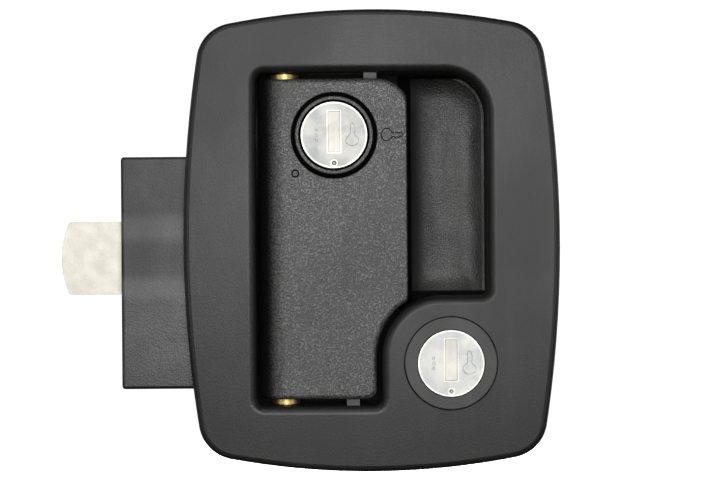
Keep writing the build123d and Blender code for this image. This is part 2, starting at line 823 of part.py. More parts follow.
lock_sleeve("deadbolt_cylinder", deadbolt_lock, deadbolt_plug_face, sleeve_end_deadbolt)
lock_nut("deadbolt_nut", deadbolt_lock, deadbolt_boss_end)
lock_plug(
    "deadbolt_plug", deadbolt_lock, deadbolt_plug_face, shaft_end=sleeve_end_deadbolt + play,
    tail_width=tailpiece_thickness, tail_height=tailpiece_height, tail_end=tailpiece_end, screw_length=0,
)
lock_wafers("deadbolt_wafers", deadbolt_lock, deadbolt_plug_face)
lock_shutter("deadbolt_shutter", deadbolt_lock, deadbolt_plug_face)

# The crank turns in the latch box's front wall and in its cover. Its slot takes the tail.
with BuildPart() as deadbolt_crank:
    drum(deadbolt_lock, crank_hub_radius, box_front + play, box_depth)
    with BuildSketch(layer(crank_front)):
        with Locations(deadbolt_lock):
            Circle(crank_hub_radius)
        with Locations(crank_pin):
            Circle(crank_eye_radius)
        make_hull()
    extrude(amount=-crank_thickness)
    drum(crank_pin, crank_pin_radius, crank_front, fork_back + play)
    slot_gap = 4 * running_gap
    bar(
        deadbolt_lock, tailpiece_thickness + slot_gap, tailpiece_height + slot_gap,
        box_front, box_depth, Mode.SUBTRACT,
    )
keep(deadbolt_crank, "deadbolt_crank")

# ---- Deadbolt: a bar with a fork that hangs over the crank's pin ----
deadbolt_set_back = 0.5
deadbolt_chamfer = 0.8
fork_length = 15.26
fork_rise = 2.6
fork_prong = 3.5
fork_overlap = 4.0
deadbolt_tip = box_left + deadbolt_set_back
deadbolt_low = deadbolt_middle - deadbolt_height / 2
deadbolt_high = deadbolt_middle + deadbolt_height / 2
fork_left = deadbolt_lock[0] - fork_length
bar_end = deadbolt_lock[0] - crank_hub_radius - fork_overlap
fork_top = deadbolt_high + fork_rise
fork_bottom = deadbolt_lock[1] + crank_hub_radius + play
slot_radius = crank_pin_radius + play
slot_top = deadbolt_lock[1] + crank_radius + slot_radius

with BuildPart() as deadbolt:
    block((deadbolt_tip, fork_front, deadbolt_low), (bar_end, fork_back, deadbolt_high))
    chamfer(deadbolt.faces().sort_by(Axis.X)[0].edges(), deadbolt_chamfer)
    fork_right = crank_pin[0] + slot_radius + fork_prong
    block((fork_left, fork_front, fork_bottom), (fork_right, fork_back, fork_top))
    block(
        (crank_pin[0] - slot_radius, fork_front, fork_bottom),
        (crank_pin[0] + slot_radius, fork_back, slot_top),
        Mode.SUBTRACT,
    )
keep(deadbolt, "deadbolt")

# ---- Spring latch: a bevelled tongue on a steel plate with a window for the release arm ----
tongue_tip = box_left - tongue_throw
tongue_back = tongue_front + tongue_thickness
tongue_low = tongue_middle - tongue_height / 2
tongue_high = tongue_middle + tongue_height / 2
tongue_end = nose_right - box_wall - tongue_travel - play
tongue_nose = 1.5
tongue_corner = 1.0
bevel_length = 15.0
bolt_plate_front = floor_depth + play
bolt_plate_back = bolt_plate_front + bolt_plate_thickness
bolt_plate_left = box_left + box_wall + deadbolt_set_back
bolt_plate_height = 21.4
bolt_plate_corner = 2.0
arm_tip_rise = 5.8
arm_tip = bolt_plate_back + arm_tip_rise
arm_thickness = 4.5
window_width = 9.3
window_height = 15.6
window_right = hinge_x + sliding_gap
bolt_tab_room = 6.55
bolt_tab_right = window_right + bolt_tab_room
bolt_tab_thickness = 2.5
bolt_tab_height = 12.0
bolt_tab_reach = 7.6
rivet_radius = 1.5
rivet_head_radius = 2.55
rivet_head = 0.75
rivet_spacing = 12.0
rivet_x = (bolt_plate_left + tongue_end) / 2
rivet_places = [(rivet_x, tongue_middle - rivet_spacing / 2), (rivet_x, tongue_middle + rivet_spacing / 2)]
stud_set_back = 18.9
stud = (tongue_end + stud_set_back, tongue_middle)
stud_radius = 3.0
stud_neck = 2.0
pull_radius = 2.5
pull_length = 5.6
pull_chamfer = 0.6
pull_front = box_depth + play
pull_end = pull_front + pull_length

with BuildPart() as slam_bolt:
    nose_sag = tongue_nose_radius - (tongue_nose_radius**2 - (tongue_height / 2) ** 2) ** 0.5
    nose_low = (tongue_tip + nose_sag, tongue_low)
    nose_high = (tongue_tip + nose_sag, tongue_high)
    with BuildSketch(layer(tongue_back)) as tongue_shape:
        with BuildLine():
            nose = RadiusArc(nose_low, nose_high, tongue_nose_radius)
            top = Line(nose @ 1, (tongue_end, tongue_high))
            back = Line(top @ 1, (tongue_end, tongue_low))
            Line(back @ 1, nose @ 0)
        make_face()
        fillet(tongue_shape.vertices().group_by(Axis.X)[0], tongue_corner)
    extrude(amount=tongue_thickness)
    with BuildSketch(Plane.XY.offset(tongue_low)):
        with BuildLine():
            Polyline(
                (tongue_tip, tongue_front + tongue_nose),
                (tongue_tip + bevel_length, tongue_back),
                (tongue_tip, tongue_back),
                close=True,
            )
        make_face()
    extrude(amount=tongue_height, mode=Mode.SUBTRACT)
    block(
        (bolt_plate_left, bolt_plate_front, tongue_low),
        (tongue_end, tongue_back, tongue_high),
        Mode.SUBTRACT,
    )
    for place in rivet_places:
        drum(place, rivet_radius, tongue_front, bolt_plate_front, Mode.SUBTRACT)
keep(slam_bolt, "slam_bolt")

with BuildPart() as bolt_plate:
    with BuildSketch(layer(bolt_plate_front)):
        with Locations((bolt_plate_left, tongue_middle)):
            Rectangle(bolt_tab_right - bolt_plate_left, bolt_plate_height, align=(Align.MIN, Align.CENTER))
        with Locations((window_right, tongue_middle)):
            Rectangle(window_width, window_height, align=(Align.MAX, Align.CENTER), mode=Mode.SUBTRACT)
        with Locations(*rivet_places):
            Circle(rivet_radius, mode=Mode.SUBTRACT)
        with Locations(stud):
            Circle(stud_neck, mode=Mode.SUBTRACT)
    extrude(amount=-bolt_plate_thickness)
    fillet(bolt_plate.edges().filter_by(Axis.Y).group_by(Axis.X)[-1], bolt_plate_corner)
    tab_place = (bolt_tab_right - bolt_tab_thickness / 2, tongue_middle)
    bar(tab_place, bolt_tab_thickness, bolt_tab_height, bolt_plate_front, bolt_plate_back + bolt_tab_reach)
keep(bolt_plate, "bolt_plate")

with BuildPart() as bolt_rivets:
    for place in rivet_places:
        drum(place, rivet_radius, tongue_front + tongue_nose, bolt_plate_back)
        drum(place, rivet_head_radius, bolt_plate_back, bolt_plate_back + rivet_head)
keep(bolt_rivets, "bolt_rivets")

# The stud passes through the cover's slot, and its narrow end takes the inside handle's lever.
with BuildPart() as pull_stud:
    drum(stud, stud_neck, bolt_plate_front, bolt_plate_back)
    drum(stud, stud_radius, bolt_plate_back, pull_front)
    drum(stud, pull_radius, pull_front, pull_end)
    chamfer(edges_at(pull_stud, pull_end), pull_chamfer)
keep(pull_stud, "pull_stud")

# ---- Release arm: a steel fork on the hinge pin, screwed to the paddle ----
arm_cheek = 2.5
arm_eye_radius = 4.9
arm_fork_room = 2 * barrel_radius
arm_reach = arm_tip - hinge_depth

with BuildPart() as release_arm:
    with BuildSketch(Plane.XY.offset(arm_low)):
        with Locations((hinge_x, hinge_depth)):
            Circle(arm_eye_radius)
            Rectangle(arm_thickness, arm_reach, align=(Align.MAX, Align.MIN))
            Rectangle(arm_foot_length, arm_foot_thickness, align=(Align.MIN, Align.MIN))
    extrude(amount=arm_width)
    block(
        (hinge_x - barrel_radius, hinge_depth - barrel_radius, arm_low + arm_cheek),
        (hinge_x + barrel_radius, arm_tip - arm_fork_room, arm_high - arm_cheek),
        Mode.SUBTRACT,
    )
    hinge_rod(pin_radius + running_gap, arm_low, arm_high, Mode.SUBTRACT)
    for place in arm_screw_places:
        drum(place, arm_screw_radius + 2 * running_gap, paddle_back, arm_foot_back, Mode.SUBTRACT)
keep(release_arm, "release_arm")

with BuildPart() as arm_screws:
    for place in arm_screw_places:
        screw(place, arm_screw_radius, arm_screw_head_radius, arm_screw_head, arm_screw_length, arm_foot_back)
keep(arm_screws, "arm_screws")


# ---- Springs ----
# The section of a coil's wire is swept along its helix, from the start to the end of the path.
def wind(path, wire_radius):
    with BuildSketch(Plane(origin=path @ 0, z_dir=path % 0)) as section:
        Circle(wire_radius)
    sweep(section.sketch, path=path, is_frenet=True)


paddle_spring_wire = 0.6
paddle_spring_radius = 3.6
paddle_spring_turns = 4
paddle_spring_length = 10.0
paddle_spring_room = 1.0
paddle_spring_low = arm_high + paddle_spring_room
bolt_spring_wire = 0.4
bolt_spring_radius = 2.8
bolt_spring_turns = 8
bolt_spring_rise = 4.1
bolt_spring_depth = bolt_plate_back + bolt_spring_rise
bolt_spring_room = 31.0
abutment_x = bolt_tab_right + bolt_spring_room
abutment_thickness = 3.0
abutment_room = 1.4

# The torsion spring's two legs bear on the latch box and on the paddle.
with BuildPart() as paddle_spring:
    coil = Helix(
        pitch=paddle_spring_length / paddle_spring_turns,
        height=paddle_spring_length,
        radius=paddle_spring_radius,
        center=(hinge_x, hinge_depth, paddle_spring_low + paddle_spring_wire),
    )
    wind(coil, paddle_spring_wire)
    leg_x = hinge_x + paddle_spring_radius
    leg_radius = paddle_spring_wire - running_gap / 2
    leg_overlap = paddle_spring_wire / 2
    trough_half = (knuckle_inner**2 - (paddle_spring_radius + paddle_spring_wire) ** 2) ** 0.5
    paddle_side = hinge_depth - trough_half + 2 * running_gap
    drum((leg_x, (coil @ 1).Z), leg_radius, hinge_depth - leg_overlap, box_front - sliding_gap)
    drum((leg_x, (coil @ 0).Z), leg_radius, paddle_side, hinge_depth + leg_overlap)
keep(paddle_spring, "paddle_spring")

with BuildPart() as bolt_spring:
    spring_length = bolt_spring_room - 4 * bolt_spring_wire
    coil = Helix(
        pitch=spring_length / bolt_spring_turns,
        height=spring_length,
        radius=bolt_spring_radius,
        center=(bolt_tab_right + 2 * bolt_spring_wire, bolt_spring_depth, tongue_middle),
        direction=(1, 0, 0),
    )
    wind(coil, bolt_spring_wire)
keep(bolt_spring, "bolt_spring")

# ---- Latch box: a deep nose behind the door's edge and a shallow body behind the bezel ----
guide_thickness = 1.8
guide_gap = 0.2
guide_room = 4.4
guide_back = cover_front - guide_room
guide_end = fork_left - deadbolt_travel - 5 * play
guide_rows = [
    tongue_high + guide_gap,
    tongue_low - guide_gap - guide_thickness,
    deadbolt_high + guide_gap,
    deadbolt_low - guide_gap - guide_thickness,
]
cover_boss_radius = 3.2
cover_boss_bite = 1.2
cover_screw_radius = 1.25
cover_screw_hole = 1.35
cover_screw_head_radius = 2.6
cover_screw_head = 1.3
cover_screw_length = 8.0
cover_inset = box_wall + cover_boss_radius - cover_boss_bite
cover_side_drop = 20.6
cover_side_rise = 24.9
cover_columns = (box_left + cover_inset, (box_left + box_right) / 2)
cover_rows = (box_top - cover_inset, box_bottom + cover_inset)
cover_right_rows = (box_top - cover_side_drop, box_bottom + cover_side_rise)
cover_places = [(x, z) for x in cover_columns for z in cover_rows]
cover_places += [(box_right - cover_inset, z) for z in cover_right_rows]
box_edge_radius = 1.0
arm_window_left_gap = 1.65
arm_window_gap = 1.0
arm_swing = (floor_depth - hinge_depth) * tan(radians(paddle_opening))
arm_window_left = hinge_x - arm_thickness - arm_window_left_gap
arm_window_right = hinge_x + arm_swing + arm_window_gap
arm_window_middle = ((arm_window_left + arm_window_right) / 2, tongue_middle)
fillet_reach = 0.1

with BuildPart() as latch_housing:
    block((box_left, door_skin, box_bottom), (nose_right, cover_front, box_top))
    block((box_left, box_front, box_bottom), (box_right, cover_front, box_top))
    outside = latch_housing.edges().filter_by(lambda edge: edge.center().Y < cover_front - fillet_reach)
    inner_corner = outside.filter_by(Axis.Z).filter_by_position(
        Axis.X, nose_right - fillet_reach, nose_right + fillet_reach
    )
    fillet([*(outside - inner_corner.sort_by(Axis.Y)[-1:])], box_edge_radius)
    block(
        (box_left + box_wall, door_skin + box_wall, box_bottom + box_wall),
        (nose_right - box_wall, cover_front, box_top - box_wall),
        Mode.SUBTRACT,
    )
    block(
        (box_left + box_wall, floor_depth, box_bottom + box_wall),
        (box_right - box_wall, cover_front, box_top - box_wall),
        Mode.SUBTRACT,
    )

    # Guides above and below each bolt, a pad under the deadbolt, and the bolt spring's abutment.
    nose_middle = (box_left + nose_right) / 2
    nose_width = nose_right - box_left - box_wall
    body_guide_width = guide_end - nose_right + box_wall
    body_guide_middle = guide_end - body_guide_width / 2
    floor_inside = floor_depth - box_wall / 2
    for low in guide_rows:
        z = low + guide_thickness / 2
        bar((nose_middle, z), nose_width, guide_thickness, door_skin + box_wall / 2, guide_back)
        bar((body_guide_middle, z), body_guide_width, guide_thickness, floor_inside, guide_back)
    pad_place = (body_guide_middle, deadbolt_middle)
    bar(pad_place, body_guide_width, deadbolt_height, floor_inside, fork_front - guide_gap)
    abutment_place = (abutment_x + abutment_thickness / 2, tongue_middle)
    bar(abutment_place, abutment_thickness, bolt_tab_height, floor_inside, cover_front - abutment_room)
    for x, z in cover_places:
        near = door_skin + box_wall if x < nose_right else floor_depth
        drum((x, z), cover_boss_radius, near - box_wall / 2, cover_front)
        drum((x, z), cover_screw_radius, box_depth - cover_screw_length, cover_front, Mode.SUBTRACT)

    # Openings: the two bolts, the release arm, the crank's hub and the fixing screws.
    block(
        (box_left, tongue_front - guide_gap, tongue_low - guide_gap),
        (box_left + box_wall, tongue_back + guide_gap, tongue_high + guide_gap),
        Mode.SUBTRACT,
    )
    block(
        (box_left, fork_front - guide_gap, deadbolt_low - guide_gap),
        (box_left + box_wall, fork_back + guide_gap, deadbolt_high + guide_gap),
        Mode.SUBTRACT,
    )
    bar(
        arm_window_middle, arm_window_right - arm_window_left, arm_room_height,
        box_front, floor_depth, Mode.SUBTRACT,
    )
    drum(deadbolt_lock, crank_hub_radius + running_gap, box_front, floor_depth, Mode.SUBTRACT)
    for place in box_places:
        drum(place, box_screw_hole, box_front, floor_depth, Mode.SUBTRACT)
        drum(place, box_screw_head_radius + 2 * running_gap, floor_depth, cover_front, Mode.SUBTRACT)
keep(latch_housing, "latch_housing")

with BuildPart() as housing_screws:
    for place in box_places:
        screw(place, box_screw_radius, box_screw_head_radius, box_screw_head, box_screw_length, floor_depth)
keep(housing_screws, "housing_screws")

with BuildPart() as rear_cover:
    block((box_left, cover_front, box_bottom), (box_right, box_depth, box_top))
    fillet(rear_cover.edges().filter_by(Axis.Y), box_edge_radius)
    with BuildSketch(layer(box_depth)):
        with Locations((stud[0] + tongue_travel / 2, tongue_middle)):
            SlotCenterToCenter(tongue_travel, 2 * (stud_radius + play))
        with Locations(deadbolt_lock):
            Circle(crank_hub_radius + running_gap)
        with Locations(*cover_places):
            Circle(cover_screw_hole)
    extrude(amount=cover_thickness, mode=Mode.SUBTRACT)
keep(rear_cover, "rear_cover")

with BuildPart() as cover_screws:
    for place in cover_places:
        screw(
            place, cover_screw_radius, cover_screw_head_radius, cover_screw_head,
            cover_screw_length, box_depth,
        )
keep(cover_screws, "cover_screws")
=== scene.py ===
import json
import math

import bmesh
import bpy
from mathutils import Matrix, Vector


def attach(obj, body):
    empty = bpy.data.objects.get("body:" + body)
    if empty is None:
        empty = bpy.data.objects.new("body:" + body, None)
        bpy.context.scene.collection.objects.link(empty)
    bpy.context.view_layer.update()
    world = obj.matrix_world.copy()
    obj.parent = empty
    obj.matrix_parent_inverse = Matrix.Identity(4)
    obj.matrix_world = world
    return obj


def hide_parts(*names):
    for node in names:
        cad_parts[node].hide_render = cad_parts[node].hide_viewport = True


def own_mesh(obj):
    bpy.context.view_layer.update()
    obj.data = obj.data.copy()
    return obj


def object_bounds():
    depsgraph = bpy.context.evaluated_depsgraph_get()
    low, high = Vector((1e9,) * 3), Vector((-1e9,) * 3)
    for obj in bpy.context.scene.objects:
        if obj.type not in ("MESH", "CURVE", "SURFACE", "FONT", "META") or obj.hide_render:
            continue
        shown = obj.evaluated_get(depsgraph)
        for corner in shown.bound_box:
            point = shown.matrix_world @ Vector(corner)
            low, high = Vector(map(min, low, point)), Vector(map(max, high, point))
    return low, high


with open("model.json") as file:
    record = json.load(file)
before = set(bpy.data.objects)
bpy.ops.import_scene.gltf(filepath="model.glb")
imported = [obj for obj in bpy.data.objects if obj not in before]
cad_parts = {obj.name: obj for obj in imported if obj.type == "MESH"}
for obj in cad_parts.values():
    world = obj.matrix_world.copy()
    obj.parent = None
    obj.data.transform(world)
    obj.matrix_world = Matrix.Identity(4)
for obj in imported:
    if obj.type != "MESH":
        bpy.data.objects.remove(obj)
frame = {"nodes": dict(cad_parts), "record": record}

nodes = frame["nodes"]
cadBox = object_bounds()
mm = 0.001
print("frame loaded:", len(nodes), "nodes")

cameraUser = {
    "distance": 0.700,      # from the door's face to the lens
    "aimX": -0.0035,
    "aimZ": 0.0001,
    "lens": 116.7,
    "sensor": 36.0,
    "roll": 0.41,           # degrees
}


def makeCamera(user):
    data = bpy.data.cameras.new("camera")
    data.lens = user["lens"]
    data.sensor_width = user["sensor"]
    camera = bpy.data.objects.new("camera", data)
    camera.location = (user["aimX"], -user["distance"], user["aimZ"])
    camera.rotation_euler = (math.pi / 2, math.radians(user["roll"]), 0)
    bpy.context.scene.collection.objects.link(camera)
    bpy.context.scene.camera = camera


makeCamera(cameraUser)
print("camera placed")


# helpers for shader and geometry trees
def connect(tree, value, socket):
    # a socket is linked, and anything else is set on the input itself
    if isinstance(value, bpy.types.NodeSocket):
        tree.links.new(value, socket)
    else:
        socket.default_value = value


def place(tree, kind, given=None, **settings):
    # a node with its settings, and with its inputs by name
    node = tree.nodes.new(kind)
    for name, value in settings.items():
        setattr(node, name, value)
    for label, value in (given or {}).items():
        connect(tree, value, node.inputs[label])
    return node


def newGroup(name, kind, inputs, outputs):
    # an input has a number to start from, or the name of its socket's type
    tree = bpy.data.node_groups.new(name, kind)
    for label, value in inputs.items():
        numberType = "NodeSocketInt" if isinstance(value, int) else "NodeSocketFloat"
        socketType = value if isinstance(value, str) else numberType
        socket = tree.interface.new_socket(name=label, in_out="INPUT", socket_type=socketType)
        if not isinstance(value, str):
            socket.default_value = value
    for label, socketType in outputs.items():
        tree.interface.new_socket(name=label, in_out="OUTPUT", socket_type=socketType)
    return tree, tree.nodes.new("NodeGroupInput").outputs, tree.nodes.new("NodeGroupOutput").inputs


def effectGroup(name, inputs, *outputs):
    # a shared shader effect: numbers in, masks and heights out
    return newGroup(name, "ShaderNodeTree", inputs, dict.fromkeys(outputs, "NodeSocketFloat"))


def arithmetic(tree, operation, first, second=None):
    given = {0: first} if second is None else {0: first, 1: second}
    return place(tree, "ShaderNodeMath", given, operation=operation).outputs[0]


def times(tree, first, second):
    return arithmetic(tree, "MULTIPLY", first, second)


def larger(tree, first, second):
    return arithmetic(tree, "MAXIMUM", first, second)


def ramp(tree, value, low, high):
    # 0 below low, 1 above high, smooth between
    given = {"Value": value, "From Min": low, "From Max": high}
    return place(tree, "ShaderNodeMapRange", given, interpolation_type="SMOOTHSTEP").outputs["Result"]


def between(tree, mask, low, high):
    # low where the mask is 0, high where it is 1
    given = {"Value": mask, "To Min": low, "To Max": high}
    return place(tree, "ShaderNodeMapRange", given).outputs["Result"]


def objectPoint(tree):
    return place(tree, "ShaderNodeTexCoord").outputs["Object"]


def objectAxes(tree):
    return place(tree, "ShaderNodeSeparateXYZ", {"Vector": objectPoint(tree)}).outputs


def triple(tree, x=0.0, y=0.0, z=0.0):
    return place(tree, "ShaderNodeCombineXYZ", {"X": x, "Y": y, "Z": z}).outputs["Vector"]


def stretched(tree, scale, turn=(0, 0, 0)):
    # Object coordinates, turned and then stretched
    angles = [math.radians(angle) for angle in turn]
    turned = place(tree, "ShaderNodeMapping", {"Vector": objectPoint(tree), "Rotation": angles})
    sized = place(tree, "ShaderNodeMapping", {"Vector": turned.outputs["Vector"], "Scale": scale})
    return sized.outputs["Vector"]


def noise(tree, vector, detail, roughness=0.5, scale=1.0):
    given = {"Vector": vector, "Scale": scale, "Detail": detail, "Roughness": roughness}
    return place(tree, "ShaderNodeTexNoise", given).outputs["Fac"]


# Shared effects. A noise is its detail and its roughness, and edges are where a tone starts and is full.
grainUser = {"coarse": (1.5, 0.5), "edges": (0.41, 0.59), "fine": (2.0, 0.6), "fineScale": 2.7}


def makeGrain(user):
    # a moulded stipple: rounded bumps of one size with finer noise between them
    inputs = {"Bumps per metre": 2400.0, "Fine share": 0.3}
    tree, given, result = effectGroup("stippleGrain", inputs, "Height")
    point, scale = objectPoint(tree), given["Bumps per metre"]
    coarse = noise(tree, point, *user["coarse"], scale)
    fine = noise(tree, point, *user["fine"], times(tree, scale, user["fineScale"]))
    small = times(tree, fine, given["Fine share"])
    connect(tree, arithmetic(tree, "ADD", ramp(tree, coarse, *user["edges"]), small), result["Height"])
    return tree


scuffUser = {
    "bandScale": (160, 160, 18), "bandNoise": (4.0, 0.62), "bandEdges": (0.46, 0.72), "sharpening": 0.1,
    "cloudScale": (34, 34, 24), "cloudNoise": (3.0, 0.55), "cloudEdges": (0.35, 0.7),
}


def makeScuffs(user):
    # soft rubbed bands, long along Z, and cloudy patches
    tree, given, result = effectGroup("rubbedBands", {"Sharpness": 0.5}, "Bands", "Clouds")
    bands = noise(tree, stretched(tree, user["bandScale"]), *user["bandNoise"])
    clouds = noise(tree, stretched(tree, user["cloudScale"]), *user["cloudNoise"])
    low, high = user["bandEdges"]
    low = arithmetic(tree, "ADD", low, times(tree, given["Sharpness"], user["sharpening"]))
    connect(tree, ramp(tree, bands, low, high), result["Bands"])
    connect(tree, ramp(tree, clouds, *user["cloudEdges"]), result["Clouds"])
    return tree


scratchUser = {
    # each family's turn in degrees, and how far its noise is stretched
    "families": (
        ((0, 24, 0), (2600, 200, 46)), ((0, -63, 0), (2300, 200, 60)), ((0, 82, 0), (2900, 200, 38)),
    ),
    "lineDetail": 0.0, "lineEdges": (0.735, 0.78),
    "patchScale": (60, 60, 60), "patchDetail": 1.0, "patchEdges": (0.5, 0.62),
}


def makeScratches(user):
    # hair-thin scratches in three directions, few and faint
    tree, given, result = effectGroup("hairScratches", {"Amount": 0.5}, "Mask")
    total = None
    for turn, scale in user["families"]:
        line = noise(tree, stretched(tree, scale, turn), user["lineDetail"])
        patch = noise(tree, stretched(tree, user["patchScale"], turn), user["patchDetail"])
        thin = times(tree, ramp(tree, line, *user["lineEdges"]), ramp(tree, patch, *user["patchEdges"]))
        total = thin if total is None else larger(tree, total, thin)
    connect(tree, times(tree, total, given["Amount"]), result["Mask"])
    return tree


dustUser = {"leastSize": 0.02, "sizeSpread": 0.05}      # in cells


def makeDust(user):
    # pale specks: one small round spot in a few of the cells
    tree, given, result = effectGroup("dustSpecks", {"Cells per metre": 300.0, "Share": 0.08}, "Mask")
    values = {"Vector": objectPoint(tree), "Scale": given["Cells per metre"]}
    cells = place(tree, "ShaderNodeTexVoronoi", values).outputs
    split = place(tree, "ShaderNodeSeparateColor", {"Color": cells["Color"]}).outputs
    chosen = arithmetic(tree, "LESS_THAN", split["Red"], given["Share"])
    size = arithmetic(tree, "ADD", times(tree, split["Green"], user["sizeSpread"]), user["leastSize"])
    spot = arithmetic(tree, "LESS_THAN", cells["Distance"], size)
    connect(tree, times(tree, chosen, spot), result["Mask"])
    return tree


recessShadeUser = {
    # the recess's box in metres, and the depths between which the painted shade grows
    "Half width": 0.0353, "Half height": 0.0505, "Middle": 0.00045,
    "From depth": -0.004, "To depth": 0.004, "End depth": 0.0139,
}


def makeRecessShade(user):
    # painted shade that darkens deep in the recess, and nowhere else
    tree, given, result = effectGroup("paintedRecessShade", user, "Mask")
    axes = objectAxes(tree)
    mask = ramp(tree, axes["Y"], given["From depth"], given["To depth"])
    across = arithmetic(tree, "ABSOLUTE", axes["X"])
    up = arithmetic(tree, "ABSOLUTE", arithmetic(tree, "SUBTRACT", axes["Z"], given["Middle"]))
    for measure, limit in ((across, "Half width"), (up, "Half height"), (axes["Y"], "End depth")):
        mask = times(tree, mask, arithmetic(tree, "LESS_THAN", measure, given[limit]))
    connect(tree, mask, result["Mask"])
    return tree


mottleUser = {
    # how many times finer than the patches, and the edges of the tone
    "Patches": (1.0, (0.3, 0.7)), "Fine": (7.0, (0.25, 0.75)), "noise": (3.0, 0.6),
}


def makeMetalMottle(user):
    # cloudy tone and fine peening of a plated casting
    tree, given, result = effectGroup("metalMottle", {"Patches per metre": 400.0}, "Patches", "Fine")
    point = objectPoint(tree)
    for label in ("Patches", "Fine"):
        finer, edges = user[label]
        spots = noise(tree, point, *user["noise"], times(tree, given["Patches per metre"], finer))
        connect(tree, ramp(tree, spots, *edges), result[label])
    return tree


waveUser = {"noise": (1.5, 0.45), "edges": (0.46, 0.66)}


def makeWaves(user):
    # slow sink marks of a moulded or pressed wall, with a scale of their own across and upwards, and a
    # painted sheen where they rise
    inputs = {"Across per metre": 30.0, "Up per metre": 30.0, "Shift": 0.0}
    tree, given, result = effectGroup("sinkWaves", inputs, "Height", "Bright")
    axes = objectAxes(tree)
    across = times(tree, axes["X"], given["Across per metre"])
    up = times(tree, axes["Z"], given["Up per metre"])
    slow = noise(tree, triple(tree, across, given["Shift"], up), *user["noise"])
    connect(tree, slow, result["Height"])
    connect(tree, ramp(tree, slow, *user["edges"]), result["Bright"])
    return tree


def makeEdgeShade():
    # 0 to 1 between two places along X or, where Upward is 1, along Z: a side turned from the light
    inputs = {"From": 0.0, "To": 0.01, "Amount": 0.5, "Upward": 0.0}
    tree, given, result = effectGroup("edgeShade", inputs, "Mask")
    axes = objectAxes(tree)
    sideways = times(tree, axes["X"], arithmetic(tree, "SUBTRACT", 1.0, given["Upward"]))
    along = arithmetic(tree, "ADD", sideways, times(tree, axes["Z"], given["Upward"]))
    connect(tree, times(tree, ramp(tree, along, given["From"], given["To"]), given["Amount"]), result["Mask"])
    return tree


fadeUser = {"stripeCore": 0.2, "ringCore": 0.5}     # the share of the half width that has its full tone


def makeHighlightStripe(user):
    # a soft level stripe round one height: a painted highlight where a pressed wall bulges to the light
    tree, given, result = effectGroup("paintedHighlightStripe", {"Centre": 0.0, "Half width": 0.005}, "Mask")
    away = arithmetic(tree, "SUBTRACT", objectAxes(tree)["Z"], given["Centre"])
    share = arithmetic(tree, "DIVIDE", arithmetic(tree, "ABSOLUTE", away), given["Half width"])
    connect(tree, ramp(tree, share, 1.0, user["stripeCore"]), result["Mask"])
    return tree


def makeRingShade(user):
    # a soft ring round a lock's axis: the side of its boss, turned from the light
    inputs = {"Across": 0.0, "Height": 0.0, "Radius": 0.012, "Half width": 0.001}
    tree, given, result = effectGroup("ringShade", inputs, "Mask")
    axes = objectAxes(tree)
    across = arithmetic(tree, "SUBTRACT", axes["X"], given["Across"])
    up = arithmetic(tree, "SUBTRACT", axes["Z"], given["Height"])
    square = arithmetic(tree, "ADD", times(tree, across, across), times(tree, up, up))
    away = arithmetic(tree, "SUBTRACT", arithmetic(tree, "SQRT", square), given["Radius"])
    share = arithmetic(tree, "DIVIDE", arithmetic(tree, "ABSOLUTE", away), given["Half width"])
    connect(tree, ramp(tree, share, 1.0, user["ringCore"]), result["Mask"])
    return tree


grainGroup = makeGrain(grainUser)
shadeGroup = makeEdgeShade()
highlightStripeGroup = makeHighlightStripe(fadeUser)
ringGroup = makeRingShade(fadeUser)
waveGroup = makeWaves(waveUser)
scuffGroup = makeScuffs(scuffUser)
scratchGroup = makeScratches(scratchUser)
dustGroup = makeDust(dustUser)
recessShadeGroup = makeRecessShade(recessShadeUser)
mottleGroup = makeMetalMottle(mottleUser)
print("shared effects built")


# helpers for materials
def effect(tree, group, given=None):
    return place(tree, "ShaderNodeGroup", given, node_tree=group).outputs


def newMaterial(name):
    material = bpy.data.materials.new(name)
    material.use_nodes = True
    tree = material.node_tree
    return material, tree, tree.nodes["Principled BSDF"].inputs


def blendColours(tree, mask, first, second):
    node = place(tree, "ShaderNodeMix", {"Factor": mask}, data_type="RGBA")
    colours = [socket for socket in node.inputs if socket.type == "RGBA"]
    for socket, value in zip(colours, (first, second)):
        connect(tree, (*value, 1) if isinstance(value, tuple) else value, socket)
    return [socket for socket in node.outputs if socket.type == "RGBA"][0]


def relief(tree, height, depth, strength=1.0, under=None):
    given = {"Height": height, "Distance": depth, "Strength": strength}
    if under is not None:
        given["Normal"] = under
    return place(tree, "ShaderNodeBump", given).outputs["Normal"]


def roughnessBy(tree, mask, user):
    middle, spread = user["roughness"], user["roughSpread"]
    return between(tree, mask, middle - spread, middle + spread)


def shadesOf(tree, user):
    # painted shade: darker deep in the recess, beside edges turned from the light and round the locks
    shade = times(tree, effect(tree, recessShadeGroup)["Mask"], user["recessShade"])
    areas = [(shadeGroup, ("From", "To", "Amount", "Upward"), values) for values in user["shades"]]
    areas += [(ringGroup, ("Across", "Height", "Radius", "Half width"), values) for values in user["rings"]]
    for group, labels, values in areas:
        shade = larger(tree, shade, effect(tree, group, dict(zip(labels, values)))["Mask"])
    return shade


